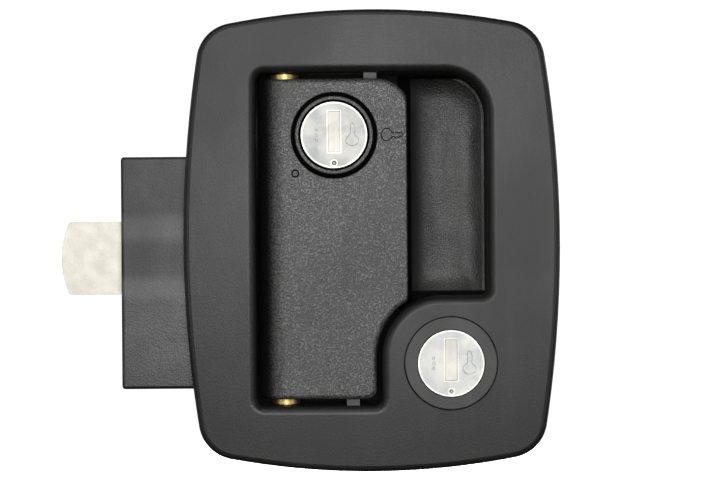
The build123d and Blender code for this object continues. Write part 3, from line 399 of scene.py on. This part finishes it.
def blackPlastic(name, user):
    # black moulding: grain, sink marks with a painted sheen, painted highlight stripes, rubbed bands, hair
    # scratches, dust and painted shade
    material, tree, shader = newMaterial(name)
    values = {"Bumps per metre": user["grainScale"], "Fine share": user["fineShare"]}
    grain = effect(tree, grainGroup, values)["Height"]
    scuffs = effect(tree, scuffGroup, {"Sharpness": user["bandSharpness"]})
    scratches = effect(tree, scratchGroup, {"Amount": user["scratches"]})["Mask"]
    values = {"Cells per metre": user["dustCells"], "Share": user["dustShare"]}
    dust = effect(tree, dustGroup, values)["Mask"]
    values = {
        "Across per metre": user["waveAcross"], "Up per metre": user["waveUp"], "Shift": user["waveShift"],
    }
    waves = effect(tree, waveGroup, values)
    # random clouds joined with the painted sheen of the sink marks, and below with the painted highlight
    # stripes
    clouds = larger(
        tree, times(tree, scuffs["Clouds"], user["clouds"]), times(tree, waves["Bright"], user["waveSheenTone"])
    )
    # painted highlight stripes at given heights
    for centre, halfWidth in user["highlightStripes"]:
        stripe = effect(tree, highlightStripeGroup, {"Centre": centre, "Half width": halfWidth})
        clouds = larger(tree, clouds, stripe["Mask"])
    # the last colour below is painted shade, laid by the shade mask
    shade = shadesOf(tree, user)
    colour = user["colour"]
    for mask, tone in (
        (clouds, "cloudAndSheenColour"), (times(tree, scuffs["Bands"], user["bands"]), "rubbedColour"),
        (times(tree, grain, user["grainTone"]), "grainColour"), (scratches, "rubbedColour"),
        (dust, "dustColour"), (shade, "paintedShadeColour"),
    ):
        colour = blendColours(tree, mask, colour, user[tone])
    connect(tree, colour, shader["Base Color"])
    connect(tree, larger(tree, roughnessBy(tree, scuffs["Clouds"], user), shade), shader["Roughness"])
    connect(tree, user["ior"], shader["IOR"])
    sheen = user["specular"]
    if user["shades"]:
        sheen = between(tree, shade, sheen, user["shadeSpecular"])
    connect(tree, sheen, shader["Specular IOR Level"])
    slow = relief(tree, waves["Height"], user["waveDepth"])
    height = arithmetic(tree, "SUBTRACT", grain, scratches)
    connect(tree, relief(tree, height, user["grainDepth"], user["grainStrength"], slow), shader["Normal"])
    return material


plateFinish = {
    "colour": (0.0095, 0.0095, 0.0088), "cloudAndSheenColour": (0.016, 0.016, 0.0148),
    "rubbedColour": (0.05, 0.05, 0.046), "dustColour": (0.45, 0.44, 0.41),
    "grainColour": (0.028, 0.028, 0.026), "paintedShadeColour": (0.003, 0.003, 0.003),
    "grainTone": 0.35, "grainScale": 2600.0, "fineShare": 0.4, "grainDepth": 0.00002, "grainStrength": 0.5,
    "bandSharpness": 0.5, "bands": 0.3, "clouds": 0.8, "scratches": 0.25,
    "dustCells": 260.0, "dustShare": 0.03,
    "waveAcross": 24.0, "waveUp": 9.0, "waveShift": 0.0, "waveDepth": 0.0001, "waveSheenTone": 1.0,
    # how dark the painted shade deep in the recess is
    "recessShade": 0.9,
    "shades": (),       # from, to, amount, and 1 if they are heights
    "rings": (),        # centre, radius and half width
    "highlightStripes": (),      # height and half width
    "roughness": 0.45, "roughSpread": 0.03, "ior": 1.5, "specular": 0.75, "shadeSpecular": 0.05,
}
paddleFinish = dict(
    plateFinish, colour=(0.006, 0.006, 0.0058), cloudAndSheenColour=(0.009, 0.009, 0.0087),
    grainColour=(0.135, 0.135, 0.13), grainTone=0.8, grainScale=1900.0, fineShare=0.35, grainDepth=0.00008,
    grainStrength=1.0, bands=0.1, scratches=0.05, dustShare=0.01, recessShade=0.0,
    shades=((0.0100, 0.0108, 1.0, 0.0), (-0.0275, -0.0315, 0.94, 0.0)),
    rings=((-0.0110, 0.0313, 0.01025, 0.00045), (-0.0110, 0.0313, 0.0122, 0.0010)),
    roughness=0.40, ior=1.58, specular=0.78,
)
# the cup's bright cloud is painted sheen, and its shades are painted shade at its left, top and bottom
cupFinish = dict(
    plateFinish, colour=(0.006, 0.006, 0.0052), cloudAndSheenColour=(0.027, 0.0272, 0.024), grainTone=0.4,
    grainScale=2000.0, grainDepth=0.00004, grainStrength=0.9, bands=0.1, scratches=0.15, dustShare=0.05,
    waveAcross=60.0, waveUp=34.0, waveShift=3.1, waveDepth=0.0024, recessShade=0.0,
    shades=((0.0126, 0.0119, 1.0, 0.0), (0.0215, 0.0120, 0.6, 0.0), (0.0484, 0.0490, 1.0, 1.0),
            (-0.0151, -0.0156, 0.9, 1.0)),
    roughness=0.38, roughSpread=0.05, ior=1.45, specular=0.65,
)
# the coating's bright bands are painted reflection: painted sheen on its sink marks and two painted highlight
# stripes
boxFinish = dict(
    plateFinish, colour=(0.014, 0.014, 0.0145), cloudAndSheenColour=(0.115, 0.115, 0.113),
    rubbedColour=(0.08, 0.08, 0.08), grainTone=0.2, grainScale=1800.0, grainDepth=0.00003, bandSharpness=0.2,
    clouds=0.12, scratches=0.12, dustShare=0.02, waveAcross=12.0, waveUp=52.0, waveShift=1.7,
    waveDepth=0.0005, waveSheenTone=0.25, recessShade=0.0, highlightStripes=((0.0040, 0.0062), (-0.0140, 0.0055)),
    roughness=0.42, roughSpread=0.06,
)
foamFinish = dict(
    plateFinish, colour=(0.018, 0.018, 0.018), cloudAndSheenColour=(0.024, 0.024, 0.024),
    grainColour=(0.03, 0.03, 0.03), grainTone=0.3, grainScale=1500.0, grainDepth=0.0002, grainStrength=1.0,
    bands=0.0, scratches=0.0, recessShade=0.0, roughness=0.85, roughSpread=0.04, specular=0.4,
)
inkFinish = dict(
    plateFinish, colour=(0.004, 0.004, 0.004), cloudAndSheenColour=(0.005, 0.005, 0.005), grainTone=0.1, bands=0.0,
    scratches=0.0, dustShare=0.0, recessShade=0.0, roughness=0.7, specular=0.2,
)


def metal(name, user):
    # plated or bare metal, with patches in its tone and a fine texture
    material, tree, shader = newMaterial(name)
    connect(tree, 1.0, shader["Metallic"])
    mottle = effect(tree, mottleGroup, {"Patches per metre": user["patchScale"]})
    scratches = effect(tree, scratchGroup, {"Amount": user["scratches"]})["Mask"]
    colour = user["colour"]
    for mask, tone in (
        (mottle["Patches"], "patchColour"), (times(tree, mottle["Fine"], user["fleck"]), "fleckColour"),
        (scratches, "scratchColour"),
    ):
        colour = blendColours(tree, mask, colour, user[tone])
    connect(tree, colour, shader["Base Color"])
    connect(tree, roughnessBy(tree, mottle["Patches"], user), shader["Roughness"])
    height = arithmetic(tree, "SUBTRACT", mottle["Fine"], scratches)
    connect(tree, relief(tree, height, user["textureDepth"], user["textureStrength"]), shader["Normal"])
    return material


plugFinish = {
    "colour": (0.40, 0.395, 0.37), "patchColour": (0.33, 0.345, 0.35), "fleckColour": (0.45, 0.44, 0.41),
    "fleck": 0.3, "scratchColour": (0.62, 0.62, 0.60), "patchScale": 170.0, "scratches": 0.2,
    "roughness": 0.46, "roughSpread": 0.02, "textureDepth": 0.000006, "textureStrength": 0.12,
}
lowPlugFinish = dict(
    plugFinish, colour=(0.56, 0.55, 0.515), patchColour=(0.46, 0.48, 0.49), fleckColour=(0.61, 0.60, 0.55),
)
shutterFinish = dict(
    plugFinish, colour=(0.48, 0.465, 0.43), patchColour=(0.44, 0.43, 0.40), fleckColour=(0.52, 0.51, 0.47),
)
lowShutterFinish = dict(
    plugFinish, colour=(0.58, 0.56, 0.51), patchColour=(0.53, 0.515, 0.47), fleckColour=(0.63, 0.61, 0.56),
)
tongueFinish = dict(
    plugFinish, colour=(0.85, 0.82, 0.715), patchColour=(0.81, 0.77, 0.66), fleckColour=(0.95, 0.94, 0.88),
    fleck=0.5, patchScale=260.0, roughness=0.55, textureDepth=0.00002, textureStrength=0.45,
)
zincFinish = dict(
    plugFinish, colour=(0.40, 0.405, 0.41), patchColour=(0.33, 0.34, 0.35), patchScale=500.0, scratches=0.5,
    roughness=0.36,
)
# bright metal for the painted rim and keyway highlights and for the index ring
highlightAndIndexFinish = dict(
    plugFinish, colour=(0.80, 0.78, 0.72), patchColour=(0.72, 0.71, 0.67), fleckColour=(0.86, 0.85, 0.80),
    scratches=0.1, roughness=0.44,
)
brassFinish = dict(
    plugFinish, colour=(0.72, 0.50, 0.17), patchColour=(0.60, 0.38, 0.11), fleckColour=(0.90, 0.74, 0.40),
    fleck=0.35, scratchColour=(0.9, 0.78, 0.46), patchScale=700.0, roughness=0.26,
)
bushFinish = dict(
    brassFinish, colour=(0.92, 0.68, 0.26), patchColour=(0.86, 0.60, 0.20), fleckColour=(1.0, 0.84, 0.45),
    roughness=0.43,
)
springFinish = dict(
    plugFinish, colour=(0.30, 0.30, 0.31), patchColour=(0.22, 0.22, 0.23), fleckColour=(0.4, 0.4, 0.4),
    scratchColour=(0.5, 0.5, 0.5), patchScale=900.0, roughness=0.3,
)

# a material for each slot of the record, and four for pieces whose tone is their own
finishes = {
    "black_moulding": blackPlastic("mouldedNylon", plateFinish),
    "black_paddle": blackPlastic("stippledPaddle", paddleFinish),
    "black_satin": blackPlastic("satinCup", cupFinish),
    "box_black": blackPlastic("boxCoating", boxFinish),
    "foam": blackPlastic("foamSeal", foamFinish),
    "bright_steel": metal("plugPlating", plugFinish),
    "nickel": metal("tongueCasting", tongueFinish),
    "zinc_steel": metal("zincPlate", zincFinish),
    "brass": metal("turnedBrass", brassFinish),
    "spring_steel": metal("springWire", springFinish),
}
ownFinishes = {
    "deadbolt_plug": metal("lowPlugPlating", lowPlugFinish),
    "deadbolt_shutter": metal("lowShutterPlating", lowShutterFinish),
    "paddle_lock_shutter": metal("shutterPlating", shutterFinish),
    "hinge_bush_top": metal("bushBrass", bushFinish),
}
ownFinishes["hinge_bush_bottom"] = ownFinishes["hinge_bush_top"]
for part in frame["record"]["subparts"]:
    node = nodes[part["node"]]
    node.data.materials.clear()
    node.data.materials.append(ownFinishes.get(part["node"], finishes[part["material_slot"]]))
print("materials ready:", len(finishes))


# geometry-node trees for the screws and threads that repeat
def moved(tree, geometry, given):
    return place(tree, "GeometryNodeTransform", {"Geometry": geometry, **given}).outputs["Geometry"]


def closeTree(tree, given, result, piece, turn=None):
    # every tree ends with its piece once at each point, made real and given its finish
    values = {"Points": given["Points"], "Instance": piece}
    if turn is not None:
        values["Rotation"] = turn
    copies = place(tree, "GeometryNodeInstanceOnPoints", values).outputs["Instances"]
    real = place(tree, "GeometryNodeRealizeInstances", {"Geometry": copies}).outputs["Geometry"]
    painted = place(tree, "GeometryNodeSetMaterial", {"Geometry": real, "Material": given["Finish"]})
    connect(tree, painted.outputs["Geometry"], result["Geometry"])
    return tree


def helix(tree, radius, length, pitch, depth, steps):
    # a thread's ridge: a thin three-sided strip wound up from the origin
    spiral = place(tree, "GeometryNodeCurveSpiral", {
        "Resolution": steps, "Start Radius": radius, "End Radius": radius, "Height": length,
        "Rotations": arithmetic(tree, "DIVIDE", length, pitch),
    })
    ridge = place(tree, "GeometryNodeCurvePrimitiveCircle", {"Resolution": 3, "Radius": depth})
    given = {"Curve": spiral.outputs["Curve"], "Profile Curve": ridge.outputs["Curve"], "Fill Caps": True}
    return place(tree, "GeometryNodeCurveToMesh", given).outputs["Mesh"]


def makeScrewTree(user):
    # a pan head with a cross recess on a threaded shank, head towards +Y, each at a turn of its own
    tree, given, result = newGroup("crossHeadScrew", "GeometryNodeTree", {
        "Points": "NodeSocketGeometry", "Head radius": 0.0026, "Head height": 0.0013, "Shank radius": 0.001,
        "Shank length": 0.008, "Thread pitch": 0.0008, "Thread depth": 0.0003, "Recess width": 0.0006,
        "Seed": 3, "Finish": "NodeSocketMaterial",
    }, {"Geometry": "NodeSocketGeometry"})
    radius, height, length = given["Head radius"], given["Head height"], given["Shank length"]
    values = {"Vertices": user["headSides"], "Radius": radius, "Depth": height}
    drum = place(tree, "GeometryNodeMeshCylinder", values).outputs["Mesh"]
    drum = moved(tree, drum, {"Translation": triple(tree, z=times(tree, height, 0.5))})
    values = {"Segments": user["headSides"], "Rings": user["domeRings"], "Radius": 1.0}
    dome = place(tree, "GeometryNodeMeshUVSphere", values).outputs["Mesh"]
    wide = times(tree, radius, user["domeWidth"])
    dome = moved(tree, dome, {"Scale": triple(tree, wide, wide, height)})
    pan = place(tree, "GeometryNodeMeshBoolean", operation="INTERSECT", solver="EXACT")
    for piece in (drum, dome):
        connect(tree, piece, pan.inputs["Mesh 2"])
    values = {"Mesh 1": pan.outputs["Mesh"]}
    cut = place(tree, "GeometryNodeMeshBoolean", values, operation="DIFFERENCE", solver="EXACT")
    reach, width = times(tree, radius, user["recessReach"]), given["Recess width"]
    for across, along in ((reach, width), (width, reach)):
        arm = place(tree, "GeometryNodeMeshCube", {"Size": triple(tree, across, along, height)})
        raised = moved(tree, arm.outputs["Mesh"], {"Translation": triple(tree, z=height)})
        connect(tree, raised, cut.inputs["Mesh 2"])
    values = {"Vertices": user["shankSides"], "Radius": given["Shank radius"], "Depth": length}
    shank = place(tree, "GeometryNodeMeshCylinder", values).outputs["Mesh"]
    shank = moved(tree, shank, {"Translation": triple(tree, z=times(tree, length, -0.5))})
    depth, pitch = given["Thread depth"], given["Thread pitch"]
    thread = helix(tree, given["Shank radius"], length, pitch, depth, user["threadSteps"])
    thread = moved(tree, thread, {"Translation": triple(tree, z=times(tree, length, -1.0))})
    whole = place(tree, "GeometryNodeJoinGeometry")
    for piece in (cut.outputs["Mesh"], shank, thread):
        connect(tree, piece, whole.inputs["Geometry"])
    values = {0: (-math.pi / 2, 0, 0), 1: (-math.pi / 2, math.pi / 2, 0), "Seed": given["Seed"]}
    turn = place(tree, "FunctionNodeRandomValue", values, data_type="FLOAT_VECTOR").outputs[0]
    return closeTree(tree, given, result, whole.outputs["Geometry"], turn)


def makeThreadTree(user):
    # the thread inside a bore that runs along Y, once from each point
    tree, given, result = newGroup("boreThread", "GeometryNodeTree", {
        "Points": "NodeSocketGeometry", "Radius": 0.00165, "Length": 0.008, "Pitch": 0.0008,
        "Thread depth": 0.00025, "Finish": "NodeSocketMaterial",
    }, {"Geometry": "NodeSocketGeometry"})
    wound = helix(
        tree, given["Radius"], given["Length"], given["Pitch"], given["Thread depth"], user["boreSteps"]
    )
    return closeTree(tree, given, result, moved(tree, wound, {"Rotation": (-math.pi / 2, 0, 0)}))


treeUser = {
    # sides and steps of the meshes, and the dome's width and the recess's reach in head radii
    "headSides": 40, "domeRings": 24, "domeWidth": 1.12, "recessReach": 1.15, "shankSides": 20,
    "threadSteps": 14, "boreSteps": 20,
}
screwTree = makeScrewTree(treeUser)
threadTree = makeThreadTree(treeUser)


# helpers for pieces
def addPiece(name, mesh, body, slotName, finish=None, standsFor=None):
    # a finished mesh at the origin, riding on its body
    piece = bpy.data.objects.new(name, mesh)
    bpy.context.scene.collection.objects.link(piece)
    if not mesh.materials:
        mesh.materials.append(finish or finishes[slotName])
    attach(piece, body)
    if standsFor:
        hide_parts(standsFor)
    return piece


def plainMesh(holder):
    # what a curve or a modifier makes, as a mesh, and the holder goes
    graph = bpy.context.evaluated_depsgraph_get()
    mesh = bpy.data.meshes.new_from_object(holder.evaluated_get(graph), depsgraph=graph)
    holder.modifiers.clear()
    bpy.data.objects.remove(holder)
    return mesh


def fromTree(name, tree, user, slotName):
    # runs a tree on a few points and keeps the result as a plain mesh
    seed = bpy.data.meshes.new(name + "Points")
    seed.from_pydata([Vector(point) * mm for point in user["places"]], [], [])
    holder = bpy.data.objects.new(name + "Points", seed)
    bpy.context.scene.collection.objects.link(holder)
    modifier = holder.modifiers.new("build", "NODES")
    modifier.node_group = tree
    values = {**user["sizes"], "Finish": finishes[slotName]}
    for item in tree.interface.items_tree:
        if item.in_out == "INPUT" and item.name in values:
            modifier[item.identifier] = values[item.name]
    mesh = plainMesh(holder)
    mesh.name = name
    mesh.shade_flat()
    addPiece(name, mesh, user["body"], slotName, standsFor=user["standsFor"])


screwUser = {
    # places in millimetres, sizes in metres
    "cover": {
        "places": [(x, 36.0, z) for x in (-71.5, -15.25) for z in (21.6, -40.4)]
        + [(41.0, 36.0, z) for z in (5.0, -19.5)],
        "sizes": {
            "Head radius": 0.0026, "Head height": 0.0013, "Shank radius": 0.00098, "Shank length": 0.0079,
        },
        "body": "housing", "standsFor": "cover_screws",
    },
    "cam": {
        "places": [(-11.0, 16.4, 31.3)],
        "sizes": {
            "Head radius": 0.0035, "Head height": 0.0020, "Shank radius": 0.00145, "Shank length": 0.0039,
            "Thread pitch": 0.0007, "Thread depth": 0.00004, "Recess width": 0.0009,
        },
        "body": "paddle_plug", "standsFor": "cam_screw",
    },
    "arm": {
        "places": [(-10.0, 4.1, -4.896 + rise) for rise in (-3.6, 3.6)],
        "sizes": {
            "Head radius": 0.0026, "Head height": 0.0018, "Shank radius": 0.0012, "Shank length": 0.0049,
            "Thread pitch": 0.0007, "Thread depth": 0.00004,
        },
        "body": "paddle", "standsFor": "arm_screws",
    },
}
for name, user in screwUser.items():
    fromTree(name + "Screws", screwTree, user, "zinc_steel")

insertUser = {
    "places": [(x, -1.9, z) for x in (-42.0, 42.0) for z in (-54.5, 54.5)],
    "sizes": {"Radius": 0.00164, "Length": 0.0077, "Pitch": 0.0008, "Thread depth": 0.00024},
    "body": "housing", "standsFor": None,
}
fromTree("insertThreads", threadTree, insertUser, "brass")
print("screws and threads made")

beadUser = {"sides": 2, "steps": 6}


def wireMesh(name, loops, depth, radius, smooth=False, closed=True):
    # round beads along lines drawn at one depth, in millimetres
    data = bpy.data.curves.new(name, "CURVE")
    data.dimensions = "3D"
    data.bevel_depth = radius * mm
    data.bevel_resolution = beadUser["sides"]
    data.resolution_u = beadUser["steps"]
    for loop in loops:
        line = data.splines.new("NURBS" if smooth else "POLY")
        line.points.add(len(loop) - 1)
        for point, (x, z) in zip(line.points, loop):
            point.co = (x * mm, depth * mm, z * mm, 1)
        line.use_cyclic_u = closed
        if smooth:
            line.order_u = 3
    holder = bpy.data.objects.new(name, data)
    bpy.context.scene.collection.objects.link(holder)
    mesh = plainMesh(holder)
    mesh.shade_smooth()
    return mesh


def bandMesh(name, outer, inner, face, user):
    # a flat band between two loops of the same count, standing just proud of a face
    count = len(outer)
    points = []
    for depth in (face - user["proud"], face + user["deep"]):
        points += [Vector((x, depth, z)) * mm for loop in (outer, inner) for x, z in loop]
    faces = []
    for step in range(count):
        after = (step + 1) % count
        faces.append((step, after, count + after, count + step))
        for start in (0, count):
            low, high = start + step, start + after
            faces.append((low, low + 2 * count, high + 2 * count, high))
    mesh = bpy.data.meshes.new(name)
    mesh.from_pydata(points, [], faces)
    return mesh


def arc(x, z, radius, angles):
    return [(x + radius * math.cos(angle), z + radius * math.sin(angle)) for angle in angles]


def ringLoop(x, z, radius, steps):
    return arc(x, z, radius, [2 * math.pi * step / steps for step in range(steps)])


def boxLoop(x, z, width, height):
    return [(x + a * width / 2, z + b * height / 2) for a, b in ((-1, -1), (1, -1), (1, 1), (-1, 1))]


keyUser = {
    # a plain key, 1 long: the bow's half width and half height, its angles, and the blade with two teeth
    "bow": (0.30, 0.36), "bowAngles": range(28, 333, 19),
    "blade": [(0.33, -0.11), (0.44, -0.11), (0.50, -0.20), (0.58, -0.11), (0.66, -0.20), (0.74, -0.11),
              (0.90, -0.10), (0.97, 0.0), (0.90, 0.10), (0.33, 0.10)],
}


def keyLoop(x, z, size, turn, user):
    wide, tall = user["bow"]
    angles = [math.radians(degrees) for degrees in user["bowAngles"]]
    outline = [(math.cos(angle) * wide, math.sin(angle) * tall) for angle in angles] + user["blade"]
    cosine, sine = math.cos(turn), math.sin(turn)
    return [(x + size * (u * cosine - v * sine), z + size * (u * sine + v * cosine)) for u, v in outline]


markUser = {
    # on the paddle: the key's outline and the ring below the lock, in millimetres
    "keyAt": (4.6, 31.4), "keySize": 5.2, "keyBead": 0.15,
    "pipAt": (-22.6, 20.0), "pipRadius": 0.98, "pipBead": 0.24, "pipSteps": 48, "paddleFace": -6.2,
    # on each plug, from its centre: a key's outline and three small rings, mostly sunk in the face
    "smallKeyAt": (5.4, -1.6), "smallKeySize": 5.4, "ringsAcross": -5.2, "ringRises": (-1.5, 0.0, 1.5),
    "ringRadius": 0.38, "ringSteps": 16, "markBead": 0.10, "sunk": 0.7,
    # and its bright bands: a painted highlight on the rim, a painted highlight framing the keyway, and the
    # ring of the index mark
    "rim": (9.40, 9.84), "rimSteps": 96, "keywayRise": 1.0, "keyway": (3.75, 12.3), "frameWidth": 0.23,
    "indexRing": (0.78, 1.08), "indexSteps": 32, "indexDrop": 8.3, "indexRadius": 0.5, "indexBead": 0.12,
    "proud": 0.03, "deep": 0.2,
}
locks = {
    # centre of the plug, depth of its face, body, corners of its index mark
    "paddleLock": ((-11.0, 31.3), -8.15, "paddle_plug", 24),
    "deadboltLock": ((23.26, -36.65), -8.70, "deadbolt_plug", 4),
}


def makePaddleMarks(user, ink):
    for name, loop, bead, smooth in (
        ("keyMark", keyLoop(*user["keyAt"], user["keySize"], 0.0, keyUser), user["keyBead"], True),
        ("pipRing", ringLoop(*user["pipAt"], user["pipRadius"], user["pipSteps"]), user["pipBead"], False),
    ):
        mesh = wireMesh(name, [loop], user["paddleFace"], bead, smooth)
        addPiece(name, mesh, "paddle", "black_paddle", ink)


def makeLockMarks(user, ink, rim, lock, centre, face, body, corners):
    x, z = centre
    drop, rise = z - user["indexDrop"], z + user["keywayRise"]
    across, up = user["smallKeyAt"]
    marks = [keyLoop(x + across, z + up, user["smallKeySize"], math.pi / 2, keyUser)]
    marks += [
        ringLoop(x + user["ringsAcross"], z + height, user["ringRadius"], user["ringSteps"])
        for height in user["ringRises"]
    ]
    width, height = user["keyway"]
    grow = 2 * user["frameWidth"]
    low, high = user["rim"]
    least, most = user["indexRing"]
    mark, bead = user["markBead"], user["indexBead"]
    steps, few = user["rimSteps"], user["indexSteps"]
    index = [ringLoop(x, drop, user["indexRadius"], corners)]
    # the rim and the keyway frame are painted highlights
    bands = {
        "Rim": (ringLoop(x, z, high, steps), ringLoop(x, z, low, steps)),
        "KeywayHighlight": (boxLoop(x, rise, width + grow, height + grow), boxLoop(x, rise, width, height)),
        "IndexRing": (ringLoop(x, drop, most, few), ringLoop(x, drop, least, few)),
    }
    name = lock + "Marks"
    addPiece(name, wireMesh(name, marks, face + user["sunk"] * mark, mark), body, "bright_steel")
    for label, (outer, inner) in bands.items():
        addPiece(lock + label, bandMesh(lock + label, outer, inner, face, user), body, "bright_steel", rim)
    name = lock + "Index"
    addPiece(name, wireMesh(name, index, face + user["sunk"] * bead, bead), body, "bright_steel", ink)


inkMaterial = blackPlastic("darkLine", inkFinish)
highlightAndIndexMaterial = metal("polishedRim", highlightAndIndexFinish)
makePaddleMarks(markUser, inkMaterial)
for lock, values in locks.items():
    makeLockMarks(markUser, inkMaterial, highlightAndIndexMaterial, lock, *values)

cupUser = {
    # the rim of the pan, with its round corners and the notch beside the deadbolt, in millimetres
    "left": 8.6, "right": 34.3, "top": 49.8, "topRound": 12.3, "bottom": -16.45, "bottomRound": 1.5,
    "leastRound": 0.05, "notch": (20.84, -34.75), "notchRadius": 18.3, "steps": 14, "topStarts": (0.0, 0.5),
    # the floor's sweep up to the rim: its depths, how far in it runs, and its rings
    "rimFront": 8.5, "floor": 9.97, "from": 0.75, "to": 7.5, "rings": 9,
    # the painted highlight line along the rim
    "lineInset": 0.3, "lineBead": 0.16, "highlightTone": 0.2,
}


def cupLine(user, inset):
    # the rim's outline, moved inwards, from its top left round to where the notch meets the left side
    right, top, bottom = user["right"] - inset, user["top"] - inset, user["bottom"] + inset
    run = right - user["topRound"] + inset - user["left"]
    points = [(user["left"] + share * run, top) for share in user["topStarts"]]
    shares = [step / user["steps"] for step in range(user["steps"] + 1)]
    falling = [math.radians(90.0 - 90.0 * share) for share in shares]
    radius = max(user["topRound"] - inset, user["leastRound"])
    points += arc(right - radius, top - radius, radius, falling)
    falling = [math.radians(-90.0 * share) for share in shares]
    radius = max(user["bottomRound"] - inset, user["leastRound"])
    points += arc(right - radius, bottom + radius, radius, falling)
    x, z = user["notch"]
    radius = user["notchRadius"] + inset
    start, end = math.pi / 2, math.acos((user["left"] - x) / radius)
    return points + arc(x, z, radius, [start + (end - start) * share for share in shares])


def makeCupDish(user):
    # the pan's floor sweeps up to its rim in a long soft curve, with a painted highlight line on the rim
    points, faces = [], []
    for ring in range(user["rings"] + 1):
        share = ring / user["rings"]
        line = cupLine(user, user["from"] + share * (user["to"] - user["from"]))
        rise = (user["floor"] - user["rimFront"]) * (1 - share) ** 2
        points += [Vector((x, user["floor"] - rise, z)) * mm for x, z in line]
        count = len(line)
        if ring:
            for step in range(count - 1):
                low = (ring - 1) * count + step
                faces.append((low, low + 1, low + 1 + count, low + count))
    mesh = bpy.data.meshes.new("cupDish")
    mesh.from_pydata(points, [], faces)
    mesh.shade_smooth()
    addPiece("cupDish", mesh, "housing", "black_satin")
    tone = (user["highlightTone"],) * 3
    rimHighlight = blackPlastic("paintedRimHighlight", dict(cupFinish, colour=tone, cloudAndSheenColour=tone, bands=0.0))
    line = cupLine(user, user["lineInset"])[len(user["topStarts"]):-user["steps"] - 1]
    mesh = wireMesh("cupRimHighlight", [line], user["rimFront"], user["lineBead"], closed=False)
    addPiece("cupRimHighlight", mesh, "housing", "black_satin", rimHighlight)


makeCupDish(cupUser)

tongueUser = {
    # weld in metres, the angles between faces that are one and edges that are sharp, and the bevel
    "weld": 1e-6, "flat": 0.5, "sharp": 30.0, "ease": 0.00045, "segments": 3,
}


def makeTongue(user):
    # a copy of the spring bolt's tongue with its sharp edges eased
    mesh = nodes["slam_bolt"].data.copy()
    mesh.name = "easedTongue"
    work = bmesh.new()
    work.from_mesh(mesh)
    bmesh.ops.remove_doubles(work, verts=work.verts, dist=user["weld"])
    bmesh.ops.dissolve_limit(
        work, angle_limit=math.radians(user["flat"]), verts=work.verts, edges=work.edges
    )
    work.to_mesh(mesh)
    work.free()
    mesh.materials.clear()
    piece = addPiece("easedTongue", mesh, "slam_bolt", "nickel", standsFor="slam_bolt")
    ease = piece.modifiers.new("ease", "BEVEL")
    ease.width = user["ease"]
    ease.segments = user["segments"]
    ease.limit_method = "ANGLE"
    ease.angle_limit = math.radians(user["sharp"])
    ease.harden_normals = True


makeTongue(tongueUser)


def makeCoil():
    # a copy of the spring between the sliding plate and a fixed abutment, riding on the housing at one length
    mesh = nodes["bolt_spring"].data.copy()
    mesh.name = "boltCoil"
    coil = addPiece("boltCoil", mesh, "housing", "spring_steel", standsFor="bolt_spring")
    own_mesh(coil)


makeCoil()
print("marks, rims, tongue and spring made")

stageUser = {
    "floorDrop": 0.16,      # below the object's lowest point
    "radius": 2.6, "wallHeight": 2.6, "coveRadius": 0.5, "rings": 12, "segments": 96,
    "domeRadius": 0.5, "domeHeight": 1.25,      # the open top, in radii and wall heights
    "floorColour": (0.9, 0.9, 0.9), "roughness": 0.8, "glow": 1.0,
}


def makeStage(user):
    # a round floor that curves up into a wall all the way round
    floorZ = cadBox[0].z - user["floorDrop"]
    radius, cove, height, count = user["radius"], user["coveRadius"], user["wallHeight"], user["segments"]
    profile = []
    for step in range(user["rings"] + 1):
        angle = math.pi / 2 * step / user["rings"]
        profile.append((radius - cove + cove * math.sin(angle), floorZ + cove * (1 - math.cos(angle))))
    profile.append((radius, floorZ + height))
    profile.append((radius * user["domeRadius"], floorZ + height * user["domeHeight"]))
    points, faces = [Vector((0, 0, floorZ))], []
    for reach, z in profile:
        for step in range(count):
            angle = 2 * math.pi * step / count
            points.append(Vector((reach * math.cos(angle), reach * math.sin(angle), z)))
    for step in range(count):
        after = (step + 1) % count
        faces.append((0, 1 + step, 1 + after))
        for ring in range(len(profile) - 1):
            low, high = 1 + ring * count, 1 + (ring + 1) * count
            faces.append((low + step, high + step, high + after, low + after))
    mesh = bpy.data.meshes.new("paleStage")
    mesh.from_pydata(points, [], faces)
    mesh.shade_smooth()
    stage = bpy.data.objects.new("paleStage", mesh)
    bpy.context.scene.collection.objects.link(stage)
    material, tree, shader = newMaterial("paleStage")
    connect(tree, (*user["floorColour"], 1), shader["Base Color"])
    connect(tree, user["roughness"], shader["Roughness"])
    connect(tree, (1, 1, 1, 1), shader["Emission Color"])
    connect(tree, user["glow"], shader["Emission Strength"])
    mesh.materials.append(material)
    stage.visible_glossy = False
    stage.visible_diffuse = False


makeStage(stageUser)

lightUser = {
    # place, size, watts, all aimed at the object
    "frontBox": ((0.0, -1.75, 0.20), (0.8, 0.7), 12.5),
    "topBox": ((-0.3, -1.1, 1.25), (0.9, 0.6), 3.0),
    "leftQuarterBox": ((-1.35, -1.15, 0.05), (0.7, 0.8), 2.2),
    "rightQuarterBox": ((1.35, -1.15, 0.05), (0.7, 0.8), 2.2),
    "leftBox": ((-1.5, 0.8, 0.3), (0.6, 1.2), 2.5),
    "rightBox": ((1.5, 0.8, 0.3), (0.6, 1.2), 4.0),
    "backBox": ((0.2, 1.75, 0.5), (1.6, 1.2), 30.0),
}
roomUser = {"colour": (0.02, 0.02, 0.02), "viewTransform": "Standard"}


def makeLights(user):
    for name, (where, size, watts) in user.items():
        data = bpy.data.lights.new(name, "AREA")
        data.shape = "RECTANGLE"
        data.size, data.size_y = size
        data.energy = watts
        light = bpy.data.objects.new(name, data)
        light.location = where
        light.rotation_euler = (-Vector(where)).to_track_quat("-Z", "Y").to_euler()
        light.visible_camera = False
        bpy.context.scene.collection.objects.link(light)


def makeRoom(user):
    world = bpy.data.worlds.new("dimRoom")
    world.use_nodes = True
    world.node_tree.nodes["Background"].inputs["Color"].default_value = (*user["colour"], 1)
    bpy.context.scene.world = world
    bpy.context.scene.view_settings.view_transform = user["viewTransform"]


makeLights(lightUser)
makeRoom(roomUser)
print("stage and lights placed")
